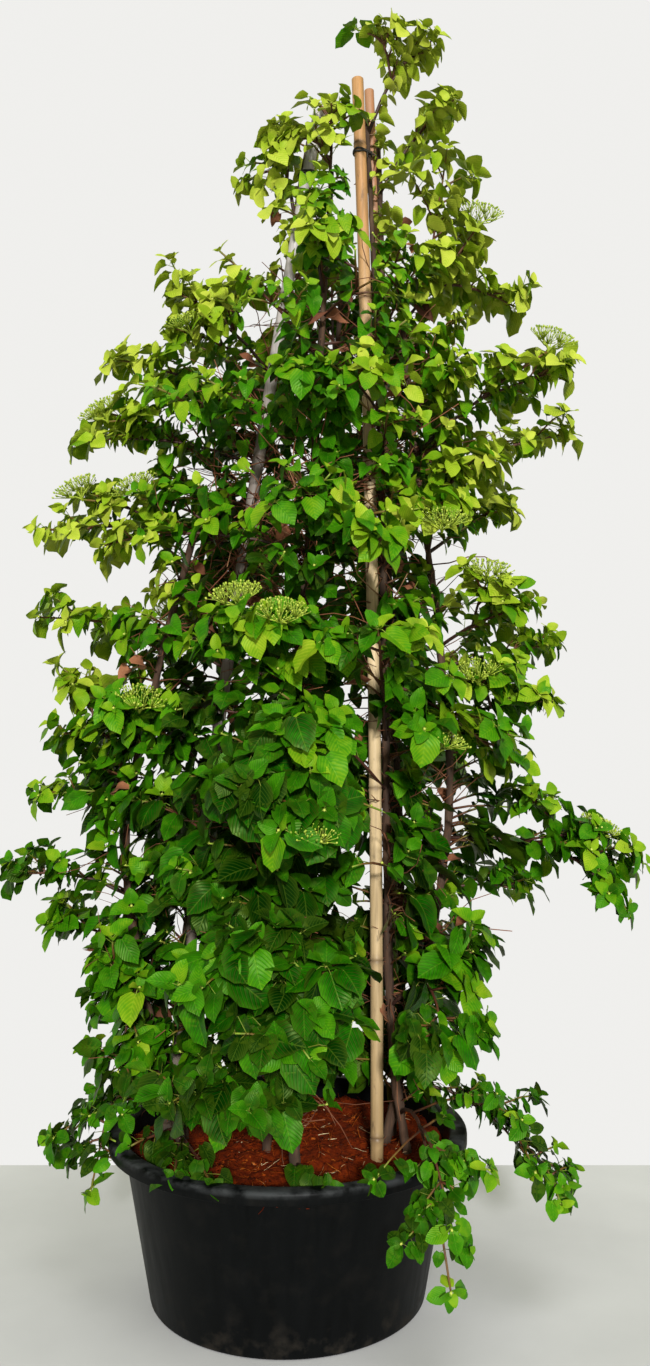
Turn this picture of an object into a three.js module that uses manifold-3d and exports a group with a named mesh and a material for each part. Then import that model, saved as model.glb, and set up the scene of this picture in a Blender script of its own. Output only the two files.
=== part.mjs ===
// A climbing hydrangea in its black nursery pot, about 2.4 m tall.
// Millimetres, +Z up, origin at the middle of the pot's base. The front of the plant faces -Y.
// Three bamboo canes lean together over the pot. Woody stems climb them, and leafy sprays with
// flower heads in bud grow from the stems.

import * as THREE from 'three';
import { mergeVertices } from 'three/addons/utils/BufferGeometryUtils.js';
import Module from 'manifold-3d';

const wasm = await Module();
wasm.setup();

// Driving dimensions of the pot and its filling.
const POT_SIDES = 30;
const POT_HEIGHT = 298;
const POT_BASE_RADIUS = 249;
const POT_NECK_RADIUS = 301;
const POT_RIM_RADIUS = 327;
const POT_WALL = 5;
const LIP_DEPTH = 22;
const LIP_WALL = 4;
const DRAIN_HOLES = 6;
const DRAIN_RADIUS = 9;
const DRAIN_RING_RADIUS = 175;
const COMPOST_TOP = 260;
const FIT_GAP = 0.4;

// Driving dimensions of the canes: where each passes at three heights, and its radius.
const CANE_FOOT = 125;
const CANE_NODE_SPACING = 310;
const CANE_NODE_SWELL = 1.3;
const CANE_SIDES = 7;
const CANES = {
  cane_front: { low: [160, -70, 260], middle: [159, -30, 1000], top: [131, 40, 2290], radius: 11.5 },
  cane_left: { low: [-225, 15, 260], middle: [-61, 0, 1510], top: [56, -4, 2200], radius: 11 },
  cane_back_right: { low: [207, 125, 260], middle: [198, 112, 980], top: [155, 80, 2290], radius: 9.5 },
};

// Driving dimensions of the woody stems.
const STEM_FOOT = 135;
const STEM_FOOT_RADIUS = 9;
const STEM_TOP_RADIUS = 4.5;
const STEM_SIDES = 5;
const STEM_STEPS = 8;
const STEM_STRIDE = 4;
const LEAN_GAP = 2;

// Stems that lean on a cane: the cane, the mean side that they keep to and how far they sway to
// either side of it, in degrees, how far their root stands from there, and the height of their top.
const LEANING_STEMS = {
  stem_on_front_cane: { cane: 'cane_front', side: 20, sway: 20, root: [38, 14], top: 2225 },
  stem_on_left_cane: { cane: 'cane_left', side: 112, sway: 22, root: [45, 14], top: 2150 },
  stem_on_back_cane: { cane: 'cane_back_right', side: 300, sway: 22, root: [-28, -36], top: 2190 },
};
const SWAY_HEIGHT = 300;
const ROOT_SWEEP_HEIGHT = 160;

// Stems that climb freely between the canes, by the points that they pass, root end first.
const FREE_STEMS = {
  stem_centre: [[-40, -20, 135], [-30, -60, 500], [0, -100, 950], [40, -80, 1400], [65, -75, 1800], [80, -70, 2050]],
  stem_right: [[150, 30, 135], [220, -10, 450], [300, 20, 850], [285, 40, 1200], [245, 30, 1500], [215, 10, 1800]],
  stem_left_low: [[-140, -60, 135], [-235, -60, 450], [-300, -20, 800], [-245, -45, 1100], [-165, -70, 1400]],
  stem_back: [[30, 140, 135], [-20, 170, 500], [0, 165, 900], [40, 155, 1300], [80, 140, 1650], [105, 130, 1950]],
  stem_front_low: [[20, -160, 135], [10, -200, 450], [-30, -195, 750], [-20, -165, 1050]],
};

// Loops of dark tie, each round a cane and the stem that leans on it.
const TIES = {
  tie_front_cane: { cane: 'cane_front', stem: 'stem_on_front_cane', height: 2140 },
  tie_left_cane: { cane: 'cane_left', stem: 'stem_on_left_cane', height: 2080 },
};
const TIE_RADIUS = 2.2;

// Driving dimensions of the sprays. A main twig grows from a stem, forks grow from a main twig,
// and side shoots from either. Each kind has so many straight lengths and thins from base to tip.
const TWIG_KINDS = {
  main: { lengths: 3, base: 3.8, tip: 1.7 },
  fork: { lengths: 2, base: 3, tip: 1.7 },
  shoot: { lengths: 1, base: 2.4, tip: 1.6 },
};
const FORK_START = 0.3;
const FORK_STEP = 0.12;
const SHOOT_SPACING = 95;
const SHOOT_LONGEST = 175;
const SHOOT_SHORTEST = 60;
const LENGTH_PER_END = 140;
const TIP_REACH = 25;

// Leaves, in crossed pairs round the end of each twig.
const LEAVES_AT_TIP = 4;
const LEAF_THICKNESS = 1;
const BLADE_START = 0.28;
const BLADE_HALF_WIDTH = 0.43;
const BLADE_WIDEST = 0.38;
const NOTCH_SHARE = 0.2;
const HUB_HEIGHT = 2.6;
const SIZES_TO_TRY = [1, 0.85, 0.7];
const ROOM_SHARE = 1.04;
const ROOM_GAP = 0.6;

// Flower heads in bud, each at the end of a twig whose last leaves grow a little below it.
const HEAD_RADIUS = 46;
const HEAD_SIDES = 8;
const HEAD_STATIONS = [[-5, 2.2], [20, HEAD_RADIUS * 0.9], [31, HEAD_RADIUS * 0.86], [40, HEAD_RADIUS * 0.45]];
const LEAVES_BELOW_HEAD = 0.78;

// How far to the right of the pot's middle the plant's own middle stands.
const PLANT_AXIS_X = 60;

// Leafy sprays: the stem and height that each grows from, the usual length of its leaves, then
// its tips. The first tip ends its main twig and the others end forks of it. A tip is where the
// outermost leaves reach, written [x, y, z, lift] or, with a flower head, [x, y, z, lift, 1], and
// lift is how far the twig's middle bows up above a straight line.
const SPRAYS = {
  spray_right_218: ['stem_on_front_cane', 2180, 38, [280, 50, 2370, 80], [165, 0, 2395, 10]],
  spray_back_208: ['stem_on_back_cane', 2080, 40, [340, 100, 2300, 40]],
  spray_left_200: ['stem_on_left_cane', 2000, 38, [-35, 0, 2200, 20], [-60, -60, 2020, 60]],
  spray_right_178: ['stem_on_back_cane', 1780, 46, [375, 0, 2000, -20, 1], [300, -50, 2135, -30], [460, 80, 1850, 30]],
  spray_right_155: ['stem_right', 1550, 40, [500, -60, 1735, 20, 1], [540, -10, 1705, 20]],
  spray_right_150: ['stem_on_back_cane', 1500, 40, [565, 50, 1600, 20]],
  spray_right_138: ['stem_on_front_cane', 1380, 44, [380, -120, 1520, 20], [272, -200, 1350, 50, 1]],
  spray_right_136: ['stem_right', 1360, 42, [440, 120, 1480, 10]],
  spray_right_118: ['stem_right', 1180, 42, [440, -80, 1250, 20], [360, -120, 1300, 20, 1]],
  spray_right_112: ['stem_on_back_cane', 1120, 40, [520, 60, 1190, 10]],
  spray_right_104: ['stem_right', 1040, 42, [510, -40, 1080, 20], [330, -150, 1110, 30, 1]],
  spray_right_100: ['stem_on_front_cane', 1000, 50, [150, -340, 1195, 20], [275, -210, 965, 40, 1], [400, -100, 960, 30]],
  spray_right_82: ['stem_right', 820, 40, [660, 0, 768, 30], [590, -30, 822, 20, 1], [620, -100, 690, 30],
    [430, -20, 905, 40]],
  spray_right_68: ['stem_on_back_cane', 680, 44, [480, 120, 710, 50]],
  spray_right_52: ['stem_on_front_cane', 520, 56, [340, -150, 650, 20], [270, -250, 480, 50]],
  spray_right_36: ['stem_right', 360, 34, [480, 0, 200, 110], [515, -80, 175, 60]],
  spray_front_33: ['stem_on_front_cane', 330, 32, [264, -380, 150, 190], [268, -360, 235, 60]],
  spray_left_170: ['stem_on_left_cane', 1700, 40, [-235, -50, 1850, 40], [-80, 60, 1890, 10], [-190, -90, 1730, 40, 1]],
  spray_left_162: ['stem_on_left_cane', 1620, 40, [-360, 50, 1742, 40]],
  spray_left_152: ['stem_on_left_cane', 1520, 40, [-430, 20, 1570, 60], [-360, -40, 1600, 30, 1]],
  spray_left_136: ['stem_on_left_cane', 1360, 40, [-470, 0, 1390, 60], [-410, -20, 1460, 30, 1]],
  spray_left_134: ['stem_centre', 1340, 42, [-350, -120, 1350, 60], [-290, -90, 1450, 30, 1]],
  spray_left_118: ['stem_on_left_cane', 1180, 42, [-500, 30, 1240, 20]],
  spray_front_112: ['stem_centre', 1120, 48, [-80, -340, 1225, 20, 1], [0, -360, 1190, 20, 1]],
  spray_left_98: ['stem_left_low', 980, 44, [-440, -20, 1020, 30], [-240, -190, 1060, 30, 1], [-400, 10, 1115, 30]],
  spray_left_84: ['stem_on_left_cane', 840, 40, [-490, 50, 908, 30], [-390, 80, 985, 20]],
  spray_left_72: ['stem_left_low', 720, 42, [-530, -30, 757, 40]],
  spray_left_54: ['stem_on_left_cane', 540, 48, [-440, 80, 670, 20], [-360, 20, 480, 40]],
  spray_left_48: ['stem_left_low', 480, 52, [-320, -120, 630, 20], [-300, -110, 400, 40]],
  spray_left_33: ['stem_left_low', 330, 36, [-450, 50, 230, 120], [-350, -110, 195, 100]],
  spray_front_32: ['stem_front_low', 320, 58, [-85, -300, 440, 40], [-200, -260, 420, 40]],
  spray_front_182: ['stem_centre', 1820, 40, [20, -200, 1960, 20], [85, -225, 1880, 20]],
  spray_front_152: ['stem_centre', 1520, 44, [30, -280, 1640, 20], [190, -240, 1640, 20]],
  spray_front_130: ['stem_centre', 1300, 46, [45, -320, 1415, 20], [180, -280, 1325, 20]],
  spray_front_82: ['stem_front_low', 820, 60, [30, -370, 1030, 10], [110, -350, 900, 30], [-90, -340, 910, 30],
    [50, -380, 820, 30, 1]],
  spray_front_58: ['stem_front_low', 580, 64, [-50, -370, 700, 20], [-160, -310, 590, 30]],
  spray_front_48: ['stem_front_low', 450, 64, [75, -350, 670, 10], [-5, -380, 525, 40]],
  spray_back_172: ['stem_back', 1720, 42, [80, 250, 2040, 10], [-80, 290, 1770, 30], [200, 280, 1830, 20, 1]],
  spray_back_140: ['stem_back', 1400, 46, [300, 290, 1570, 20], [50, 320, 1480, 20]],
  spray_back_118: ['stem_back', 1180, 46, [-200, 290, 1480, 20], [-280, 230, 1240, 30, 1]],
  spray_back_100: ['stem_back', 1000, 52, [10, 340, 1180, 20], [220, 330, 1240, 20]],
  spray_back_80: ['stem_back', 800, 56, [340, 280, 960, 20], [120, 360, 910, 20, 1]],
  spray_back_62: ['stem_back', 620, 58, [-240, 300, 900, 20], [-60, 360, 700, 30]],
  spray_back_40: ['stem_back', 400, 62, [280, 320, 600, 20], [80, 360, 470, 30], [-280, 260, 500, 30], [-140, 340, 380, 60]],
  spray_front_199: ['stem_centre', 1990, 40, [80, -40, 2220, 0], [25, -90, 2130, 10]],
};

const UP = new THREE.Vector3(0, 0, 1);

// The same stream of numbers from 0 to 1 for the same seed.
function makeRandom(seed) {
  let state = seed;
  const draw = () => {
    state = (Math.imul(state, 1664525) + 1013904223) >>> 0;
    return state / 4294967296;
  };
  draw();
  draw();
  return draw;
}

function solidFrom(positions, indices) {
  const mesh = new wasm.Mesh({
    numProp: 3,
    vertProperties: new Float32Array(positions),
    triVerts: new Uint32Array(indices),
  });
  return new wasm.Manifold(mesh);
}

function solidFromGeometry(geometry) {
  const bare = geometry.index ? geometry.clone() : geometry;
  bare.deleteAttribute('normal');
  bare.deleteAttribute('uv');
  const merged = mergeVertices(bare, 0.001);
  return solidFrom(merged.attributes.position.array, merged.index.array);
}

// A mesh of a solid, with its own origin at the given point.
function meshOf(name, solid, origin, material) {
  const { vertProperties, triVerts } = solid.getMesh();
  const geometry = new THREE.BufferGeometry();
  geometry.setAttribute('position', new THREE.BufferAttribute(new Float32Array(vertProperties), 3));
  geometry.setIndex(new THREE.BufferAttribute(new Uint32Array(triVerts), 1));
  geometry.translate(-origin.x, -origin.y, -origin.z);
  geometry.computeVertexNormals();
  const mesh = new THREE.Mesh(geometry, material);
  mesh.name = name;
  mesh.position.copy(origin);
  return mesh;
}

// Rings of points round a line of points, each ring with its own radius, closed at both ends.
// dent(ring, side) gives the share of the radius that each point keeps.
function tubeSolid(points, radii, sides, dent = () => 1) {
  const positions = [];
  const indices = [];
  let across = null;
  points.forEach((point, ring) => {
    const before = points[Math.max(ring - 1, 0)];
    const after = points[Math.min(ring + 1, points.length - 1)];
    const along = after.clone().sub(before).normalize();
    if (!across) {
      across = Math.abs(along.z) < 0.9 ? UP.clone().cross(along) : new THREE.Vector3(1, 0, 0);
    }
    across.addScaledVector(along, -across.dot(along)).normalize();
    const other = along.clone().cross(across);
    for (let side = 0; side < sides; side += 1) {
      const angle = (side / sides) * 2 * Math.PI;
      const radius = radii[ring] * dent(ring, side);
      const place = point.clone();
      place.addScaledVector(across, radius * Math.cos(angle));
      place.addScaledVector(other, radius * Math.sin(angle));
      positions.push(place.x, place.y, place.z);
    }
  });
  for (let ring = 0; ring < points.length - 1; ring += 1) {
    for (let side = 0; side < sides; side += 1) {
      const a = ring * sides + side;
      const b = ring * sides + ((side + 1) % sides);
      indices.push(a, b, b + sides, a, b + sides, a + sides);
    }
  }
  const last = (points.length - 1) * sides;
  for (let side = 1; side < sides - 1; side += 1) {
    indices.push(0, side + 1, side);
    indices.push(last, last + side, last + side + 1);
  }
  return solidFrom(positions, indices);
}

// A tube of even radius round a closed line of points.
function loopSolid(points, radius, sides) {
  const positions = [];
  const indices = [];
  const count = points.length;
  const centre = points.reduce((sum, point) => sum.add(point), new THREE.Vector3()).divideScalar(count);
  points.forEach((point, ring) => {
    const along = points[(ring + 1) % count].clone().sub(points[(ring + count - 1) % count]).normalize();
    const outward = point.clone().sub(centre);
    outward.addScaledVector(along, -outward.dot(along)).normalize();
    const other = along.clone().cross(outward);
    for (let side = 0; side < sides; side += 1) {
      const angle = (side / sides) * 2 * Math.PI;
      const place = point.clone();
      place.addScaledVector(outward, radius * Math.cos(angle));
      place.addScaledVector(other, radius * Math.sin(angle));
      positions.push(place.x, place.y, place.z);
    }
  });
  for (let ring = 0; ring < count; ring += 1) {
    for (let side = 0; side < sides; side += 1) {
      const next = ((ring + 1) % count) * sides;
      const a = ring * sides + side;
      const b = ring * sides + ((side + 1) % sides);
      const c = next + side;
      const d = next + ((side + 1) % sides);
      indices.push(a, b, d, a, d, c);
    }
  }
  return solidFrom(positions, indices);
}

// Pot and compost.

function latheSolid(profile) {
  const points = profile.map(([radius, height]) => new THREE.Vector2(radius, height));
  const geometry = new THREE.LatheGeometry(points, POT_SIDES);
  geometry.rotateX(Math.PI / 2);
  return solidFromGeometry(geometry);
}

function potInnerRadius(height) {
  const share = height / (POT_HEIGHT - POT_WALL);
  return POT_BASE_RADIUS + (POT_NECK_RADIUS - POT_BASE_RADIUS) * share - POT_WALL;
}

function buildPot() {
  const lipInner = POT_RIM_RADIUS - LIP_WALL;
  const shoulder = POT_HEIGHT - POT_WALL;
  const skirt = POT_HEIGHT - LIP_DEPTH;
  const profile = [
    [0, 0],
    [POT_BASE_RADIUS - 4, 0],
    [POT_BASE_RADIUS, 4],
    [POT_NECK_RADIUS, shoulder],
    [lipInner, shoulder],
    [lipInner, skirt],
    [POT_RIM_RADIUS - 1, skirt],
    [POT_RIM_RADIUS, POT_HEIGHT - 4],
    [POT_RIM_RADIUS - 4, POT_HEIGHT],
    [POT_NECK_RADIUS - 2, POT_HEIGHT],
    [potInnerRadius(shoulder) - 1, shoulder - 3],
    [potInnerRadius(POT_WALL), POT_WALL],
    [0, POT_WALL],
  ];
  let pot = latheSolid(profile);
  for (let hole = 0; hole < DRAIN_HOLES; hole += 1) {
    const angle = ((hole + 0.5) / DRAIN_HOLES) * 2 * Math.PI;
    const x = DRAIN_RING_RADIUS * Math.cos(angle);
    const y = DRAIN_RING_RADIUS * Math.sin(angle);
    const drill = [new THREE.Vector3(x, y, -POT_WALL), new THREE.Vector3(x, y, 2 * POT_WALL)];
    pot = pot.subtract(tubeSolid(drill, [DRAIN_RADIUS, DRAIN_RADIUS], 8));
  }
  return pot;
}

// The height of the compost's loose surface above or below its mean level.
function compostBump(x, y) {
  const swell = 5 * Math.sin(x / 61 + 0.7) * Math.cos(y / 53);
  const lumps = 3 * Math.sin(x / 23 + y / 31) + 2 * Math.cos(x / 17 - y / 19);
  return swell + lumps;
}

function buildCompost(cutters) {
  const floor = POT_WALL + FIT_GAP;
  const wall = (height) => potInnerRadius(height) - 2 * FIT_GAP;
  const inner = [220, 140, 60];
  const profile = [[0, floor], [wall(floor) - 3, floor], [wall(COMPOST_TOP), COMPOST_TOP]];
  inner.forEach((radius) => profile.push([radius, COMPOST_TOP]));
  profile.push([0, COMPOST_TOP]);
  const points = profile.map(([radius, height]) => new THREE.Vector2(radius, height));
  const geometry = new THREE.LatheGeometry(points, POT_SIDES);
  geometry.rotateX(Math.PI / 2);
  const place = geometry.attributes.position;
  for (let index = 0; index < place.count; index += 1) {
    const x = place.getX(index);
    const y = place.getY(index);
    if (place.getZ(index) > COMPOST_TOP - 1 && Math.hypot(x, y) < inner[0] + 10) {
      place.setZ(index, COMPOST_TOP + compostBump(x, y));
    }
  }
  let compost = solidFromGeometry(geometry);
  cutters.forEach((cutter) => {
    compost = compost.subtract(cutter);
  });
  return compost;
}

// Canes: a bowed line through three points, with a swollen ring at each node.

function canePoint(cane, height) {
  const [z0, z1, z2] = [cane.low[2], cane.middle[2], cane.top[2]];
  const share0 = ((height - z1) * (height - z2)) / ((z0 - z1) * (z0 - z2));
  const share1 = ((height - z0) * (height - z2)) / ((z1 - z0) * (z1 - z2));
  const share2 = ((height - z0) * (height - z1)) / ((z2 - z0) * (z2 - z1));
  const x = share0 * cane.low[0] + share1 * cane.middle[0] + share2 * cane.top[0];
  const y = share0 * cane.low[1] + share1 * cane.middle[1] + share2 * cane.top[1];
  return new THREE.Vector3(x, y, height);
}

function buildCane(cane, extra = 0) {
  const points = [canePoint(cane, CANE_FOOT - extra)];
  const radii = [cane.radius + extra];
  for (let node = CANE_FOOT + 170; node < cane.top[2] - 40; node += CANE_NODE_SPACING) {
    points.push(canePoint(cane, node - 12), canePoint(cane, node));
    radii.push(cane.radius + extra, cane.radius + CANE_NODE_SWELL + extra);
  }
  points.push(canePoint(cane, cane.top[2] + extra));
  radii.push(cane.radius + extra);
  return tubeSolid(points, radii, CANE_SIDES);
}

// Stems: a smooth line of points for each, root end first.

function smoothLine(corners) {
  const places = corners.map(([x, y, z]) => new THREE.Vector3(x, y, z));
  const line = [];
  for (let span = 0; span < places.length - 1; span += 1) {
    const p0 = places[Math.max(span - 1, 0)];
    const p1 = places[span];
    const p2 = places[span + 1];
    const p3 = places[Math.min(span + 2, places.length - 1)];
    for (let step = 0; step < STEM_STEPS; step += 1) {
      const t = step / STEM_STEPS;
      const place = new THREE.Vector3();
      place.addScaledVector(p0, 0.5 * (-t + 2 * t * t - t * t * t));
      place.addScaledVector(p1, 0.5 * (2 - 5 * t * t + 3 * t * t * t));
      place.addScaledVector(p2, 0.5 * (t + 4 * t * t - 3 * t * t * t));
      place.addScaledVector(p3, 0.5 * (-t * t + t * t * t));
      line.push(place);
    }
  }
  line.push(places[places.length - 1]);
  return line;
}

function stemRadius(height) {
  const share = Math.min(Math.max((height - STEM_FOOT) / (2200 - STEM_FOOT), 0), 1);
  return STEM_FOOT_RADIUS + (STEM_TOP_RADIUS - STEM_FOOT_RADIUS) * share;
}

function leaningLine({ cane: caneName, side, sway, root, top }) {
  const cane = CANES[caneName];
  const line = [];
  const steps = 36;
  for (let step = 0; step <= steps; step += 1) {
    const height = STEM_FOOT + ((top - STEM_FOOT) * step) / steps;
    const angle = ((side + sway * Math.sin(height / SWAY_HEIGHT)) * Math.PI) / 180;
    const sweep = Math.exp(-Math.max(height - COMPOST_TOP, 0) / ROOT_SWEEP_HEIGHT);
    const distance = cane.radius + CANE_NODE_SWELL + stemRadius(height) + LEAN_GAP;
    const place = canePoint(cane, height);
    place.x += distance * Math.cos(angle) + root[0] * sweep;
    place.y += distance * Math.sin(angle) + root[1] * sweep;
    line.push(place);
  }
  return line;
}

const stemLines = {};
Object.entries(LEANING_STEMS).forEach(([name, stem]) => {
  stemLines[name] = leaningLine(stem);
});
Object.entries(FREE_STEMS).forEach(([name, corners]) => {
  stemLines[name] = smoothLine(corners);
});

function buildStem(name, extra = 0) {
  const points = stemLines[name].filter((point, index) => index % STEM_STRIDE === 0);
  const radii = points.map((point) => stemRadius(point.z) + extra);
  if (extra) {
    points[0] = points[0].clone().addScaledVector(UP, -extra);
  }
  return tubeSolid(points, radii, STEM_SIDES);
}

// The point of a line at a given height.
function lineAt(line, height) {
  const next = line.findIndex((point) => point.z >= height);
  const above = line[Math.max(next, 1)];
  const below = line[Math.max(next, 1) - 1];
  return below.clone().lerp(above, (height - below.z) / (above.z - below.z));
}

// Ties: a closed loop that runs round two circles, seen from above.

function buildTie({ cane: caneName, stem, height }) {
  const middle = canePoint(CANES[caneName], height);
  const other = lineAt(stemLines[stem].filter((point, index) => index % STEM_STRIDE === 0), height);
  const bearing = Math.atan2(other.y - middle.y, other.x - middle.x);
  const arc = 4;
  const cornerShare = 1 / Math.cos(Math.PI / arc / 2);
  const caneReach = (CANES[caneName].radius + CANE_NODE_SWELL + TIE_RADIUS + FIT_GAP) * cornerShare;
  const stemReach = (stemRadius(height) + TIE_RADIUS + FIT_GAP) * cornerShare;
  const points = [];
  for (let step = 0; step <= arc; step += 1) {
    const angle = bearing + Math.PI / 2 + (Math.PI * step) / arc;
    const x = middle.x + caneReach * Math.cos(angle);
    const y = middle.y + caneReach * Math.sin(angle);
    points.push(new THREE.Vector3(x, y, height));
  }
  for (let step = 0; step <= arc; step += 1) {
    const angle = bearing - Math.PI / 2 + (Math.PI * step) / arc;
    const x = other.x + stemReach * Math.cos(angle);
    const y = other.y + stemReach * Math.sin(angle);
    points.push(new THREE.Vector3(x, y, height + 2));
  }
  return loopSolid(points, TIE_RADIUS, 4);
}

// Twigs: each is a line bowed between its base and its tip.

function growTwig(kind, base, tip, lift, head = 0) {
  const control = base.clone().lerp(tip, 0.5);
  control.z += lift;
  const leafShare = head ? LEAVES_BELOW_HEAD : 1;
  return { kind, base, control, tip, head, leafShare, length: base.distanceTo(tip) };
}

function pointOn(twig, s) {
  const place = twig.base.clone().multiplyScalar((1 - s) * (1 - s));
  place.addScaledVector(twig.control, 2 * s * (1 - s));
  place.addScaledVector(twig.tip, s * s);
  return place;
}

function directionOn(twig, s) {
  const first = twig.control.clone().sub(twig.base).multiplyScalar(1 - s);
  const second = twig.tip.clone().sub(twig.control).multiplyScalar(s);
  return first.add(second).normalize();
}

// The level direction across a twig.
function levelAcross(along) {
  const level = along.clone().cross(UP);
  if (level.length() < 0.05) {
    level.set(1, 0, 0);
  }
  return level.normalize();
}

// Side shoots leave a twig to its left and right in turn, the longest near its base.
function growShoots(twig, random) {
  const count = Math.max(2, Math.round(twig.length / SHOOT_SPACING));
  const shoots = [];
  for (let index = 0; index < count; index += 1) {
    const s = 0.2 + (0.68 * (index + 0.5)) / count;
    const along = directionOn(twig, s);
    const level = levelAcross(along);
    const hand = index % 2 ? 1 : -1;
    const rise = -0.3 + 0.8 * random();
    const wanted = twig.length * (0.46 - 0.24 * s) * (0.8 + 0.4 * random());
    const length = Math.min(Math.max(wanted, SHOOT_SHORTEST), SHOOT_LONGEST);
    const heading = along.multiplyScalar(0.7).addScaledVector(level, 0.75 * hand).addScaledVector(UP, rise);
    const base = pointOn(twig, s);
    const tip = base.clone().addScaledVector(heading.normalize(), length);
    const shoot = growTwig('shoot', base, tip, 0.12 * length);
    shoot.parent = twig;
    shoot.parentShare = s;
    shoots.push(shoot);
  }
  return shoots;
}

// The leaves that end a twig: crossed pairs round one point, each leaf with where its blade starts,
// which way it points and faces, and how much it folds up along its middle and bows down.
function growTipLeaves(twig, usualLength, random) {
  const centre = pointOn(twig, twig.leafShare);
  const outward = new THREE.Vector3(centre.x - PLANT_AXIS_X, centre.y, 0).normalize();
  const axis = directionOn(twig, twig.leafShare).multiplyScalar(0.4).addScaledVector(UP, 0.75);
  axis.addScaledVector(outward, 0.3 + 0.2 * random()).normalize();
  const level = levelAcross(axis);
  const other = axis.clone().cross(level);
  const turn = 2 * Math.PI * random();
  const leaves = [];
  for (let index = 0; index < LEAVES_AT_TIP; index += 1) {
    const angle = turn + ((index + 0.2 * (random() - 0.5)) / LEAVES_AT_TIP) * 2 * Math.PI;
    const radial = level.clone().multiplyScalar(Math.cos(angle)).addScaledVector(other, Math.sin(angle));
    const droop = 0.15 + 0.5 * random();
    const pointing = radial.clone().multiplyScalar(Math.cos(droop)).addScaledVector(axis, -Math.sin(droop));
    const facing = axis.clone().multiplyScalar(Math.cos(droop)).addScaledVector(radial, Math.sin(droop));
    const length = usualLength * (index % 2 ? 0.85 : 1) * (0.85 + 0.3 * random());
    const start = radial.multiplyScalar(BLADE_START * length);
    const fold = 0.1 + 0.25 * random();
    const bow = 0.06 + 0.14 * random();
    leaves.push({ start, pointing, facing, length, fold, bow });
  }
  return { axis, leaves };
}

// All that grows in one spray: its main twig first, then forks, then side shoots.
function growSpray([stem, height, leafLength, ...tips], order) {
  const base = lineAt(stemLines[stem], height);
  const twigs = [];
  tips.forEach(([x, y, z, lift, head = 0], index) => {
    const tip = new THREE.Vector3(x, y, z);
    const main = twigs[0];
    const share = FORK_START + FORK_STEP * index;
    const start = index ? pointOn(main, share) : base;
    tip.lerp(start, TIP_REACH / tip.distanceTo(start));
    const twig = growTwig(index ? 'fork' : 'main', start, tip, lift, head);
    twig.parent = main;
    twig.parentShare = share;
    twigs.push(twig);
  });
  const seed = 1000 * (order + 1);
  const random = makeRandom(seed);
  const shoots = twigs.flatMap((twig) => growShoots(twig, random));
  [...twigs, ...shoots].forEach((twig, index) => {
    twig.tipLeaves = growTipLeaves(twig, leafLength, makeRandom(seed + index + 1));
  });
  return { stem, twigs, shoots };
}

// Solids of a spray. A twig is a few straight lengths, and what grows on it is rooted in them.

function coarsePoint(twig, s) {
  const { lengths } = TWIG_KINDS[twig.kind];
  const step = Math.min(Math.floor(s * lengths), lengths - 1);
  const from = twig.corners[step];
  return from.clone().lerp(twig.corners[step + 1], s * lengths - step);
}

function twigSolid(twig, stemLine) {
  const { lengths, base, tip } = TWIG_KINDS[twig.kind];
  twig.corners = [];
  const radii = [];
  for (let step = 0; step <= lengths; step += 1) {
    const s = step / lengths;
    twig.corners.push(pointOn(twig, s));
    radii.push(base + (tip - base) * s);
  }
  if (twig.parent) {
    twig.corners[0] = coarsePoint(twig.parent, twig.parentShare);
  } else {
    twig.corners[0] = lineAt(stemLine, twig.base.z);
  }
  return tubeSolid(twig.corners, radii, 3);
}

// The leaves round the end of a twig as one waved blade, cut nearly to its middle between the
// leaves, with both faces split alike. spread and grow enlarge it for a test of whether there is
// room for it.
function tipLeavesSolid({ axis, leaves }, centre, spread = 1, grow = 0) {
  const above = LEAF_THICKNESS / 2 + grow;
  const tops = [centre.clone().addScaledVector(axis, HUB_HEIGHT + grow)];
  const bottoms = [centre.clone().addScaledVector(axis, -HUB_HEIGHT - grow)];
  const add = (place, facing) => {
    tops.push(place.clone().addScaledVector(facing, above));
    bottoms.push(place.clone().addScaledVector(facing, -above));
  };
  leaves.forEach(({ start, pointing, facing, length, fold, bow }, index) => {
    const width = pointing.clone().cross(facing);
    const size = length * spread;
    const addBladePoint = (across, along) => {
      const raise = fold * Math.abs(across) - bow * along * along;
      const place = centre.clone().addScaledVector(start, spread).addScaledVector(width, across * size);
      place.addScaledVector(pointing, along * size).addScaledVector(facing, raise * size);
      add(place, facing);
    };
    const before = leaves[(index + leaves.length - 1) % leaves.length];
    const notch = pointing.clone().add(before.pointing).normalize();
    add(centre.clone().addScaledVector(notch, NOTCH_SHARE * size), axis);
    addBladePoint(BLADE_HALF_WIDTH, BLADE_WIDEST);
    addBladePoint(0, 1);
    addBladePoint(-BLADE_HALF_WIDTH, BLADE_WIDEST);
  });
  const count = tops.length;
  const indices = [];
  const addFace = (a, b, c) => indices.push(a, b, c, a + count, c + count, b + count);
  const addEdge = (a, b) => indices.push(a + count, b + count, b, a + count, b, a);
  for (let notch = 1; notch < count; notch += 4) {
    const next = notch + 4 < count ? notch + 4 : 1;
    const [left, tip, right] = [notch + 1, notch + 2, notch + 3];
    addFace(0, notch, next);
    addFace(notch, left, tip);
    addFace(notch, tip, next);
    addFace(next, tip, right);
    addEdge(notch, left);
    addEdge(left, tip);
    addEdge(tip, right);
    addEdge(right, next);
  }
  return solidFrom([...tops, ...bottoms].flatMap((place) => [place.x, place.y, place.z]), indices);
}

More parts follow.
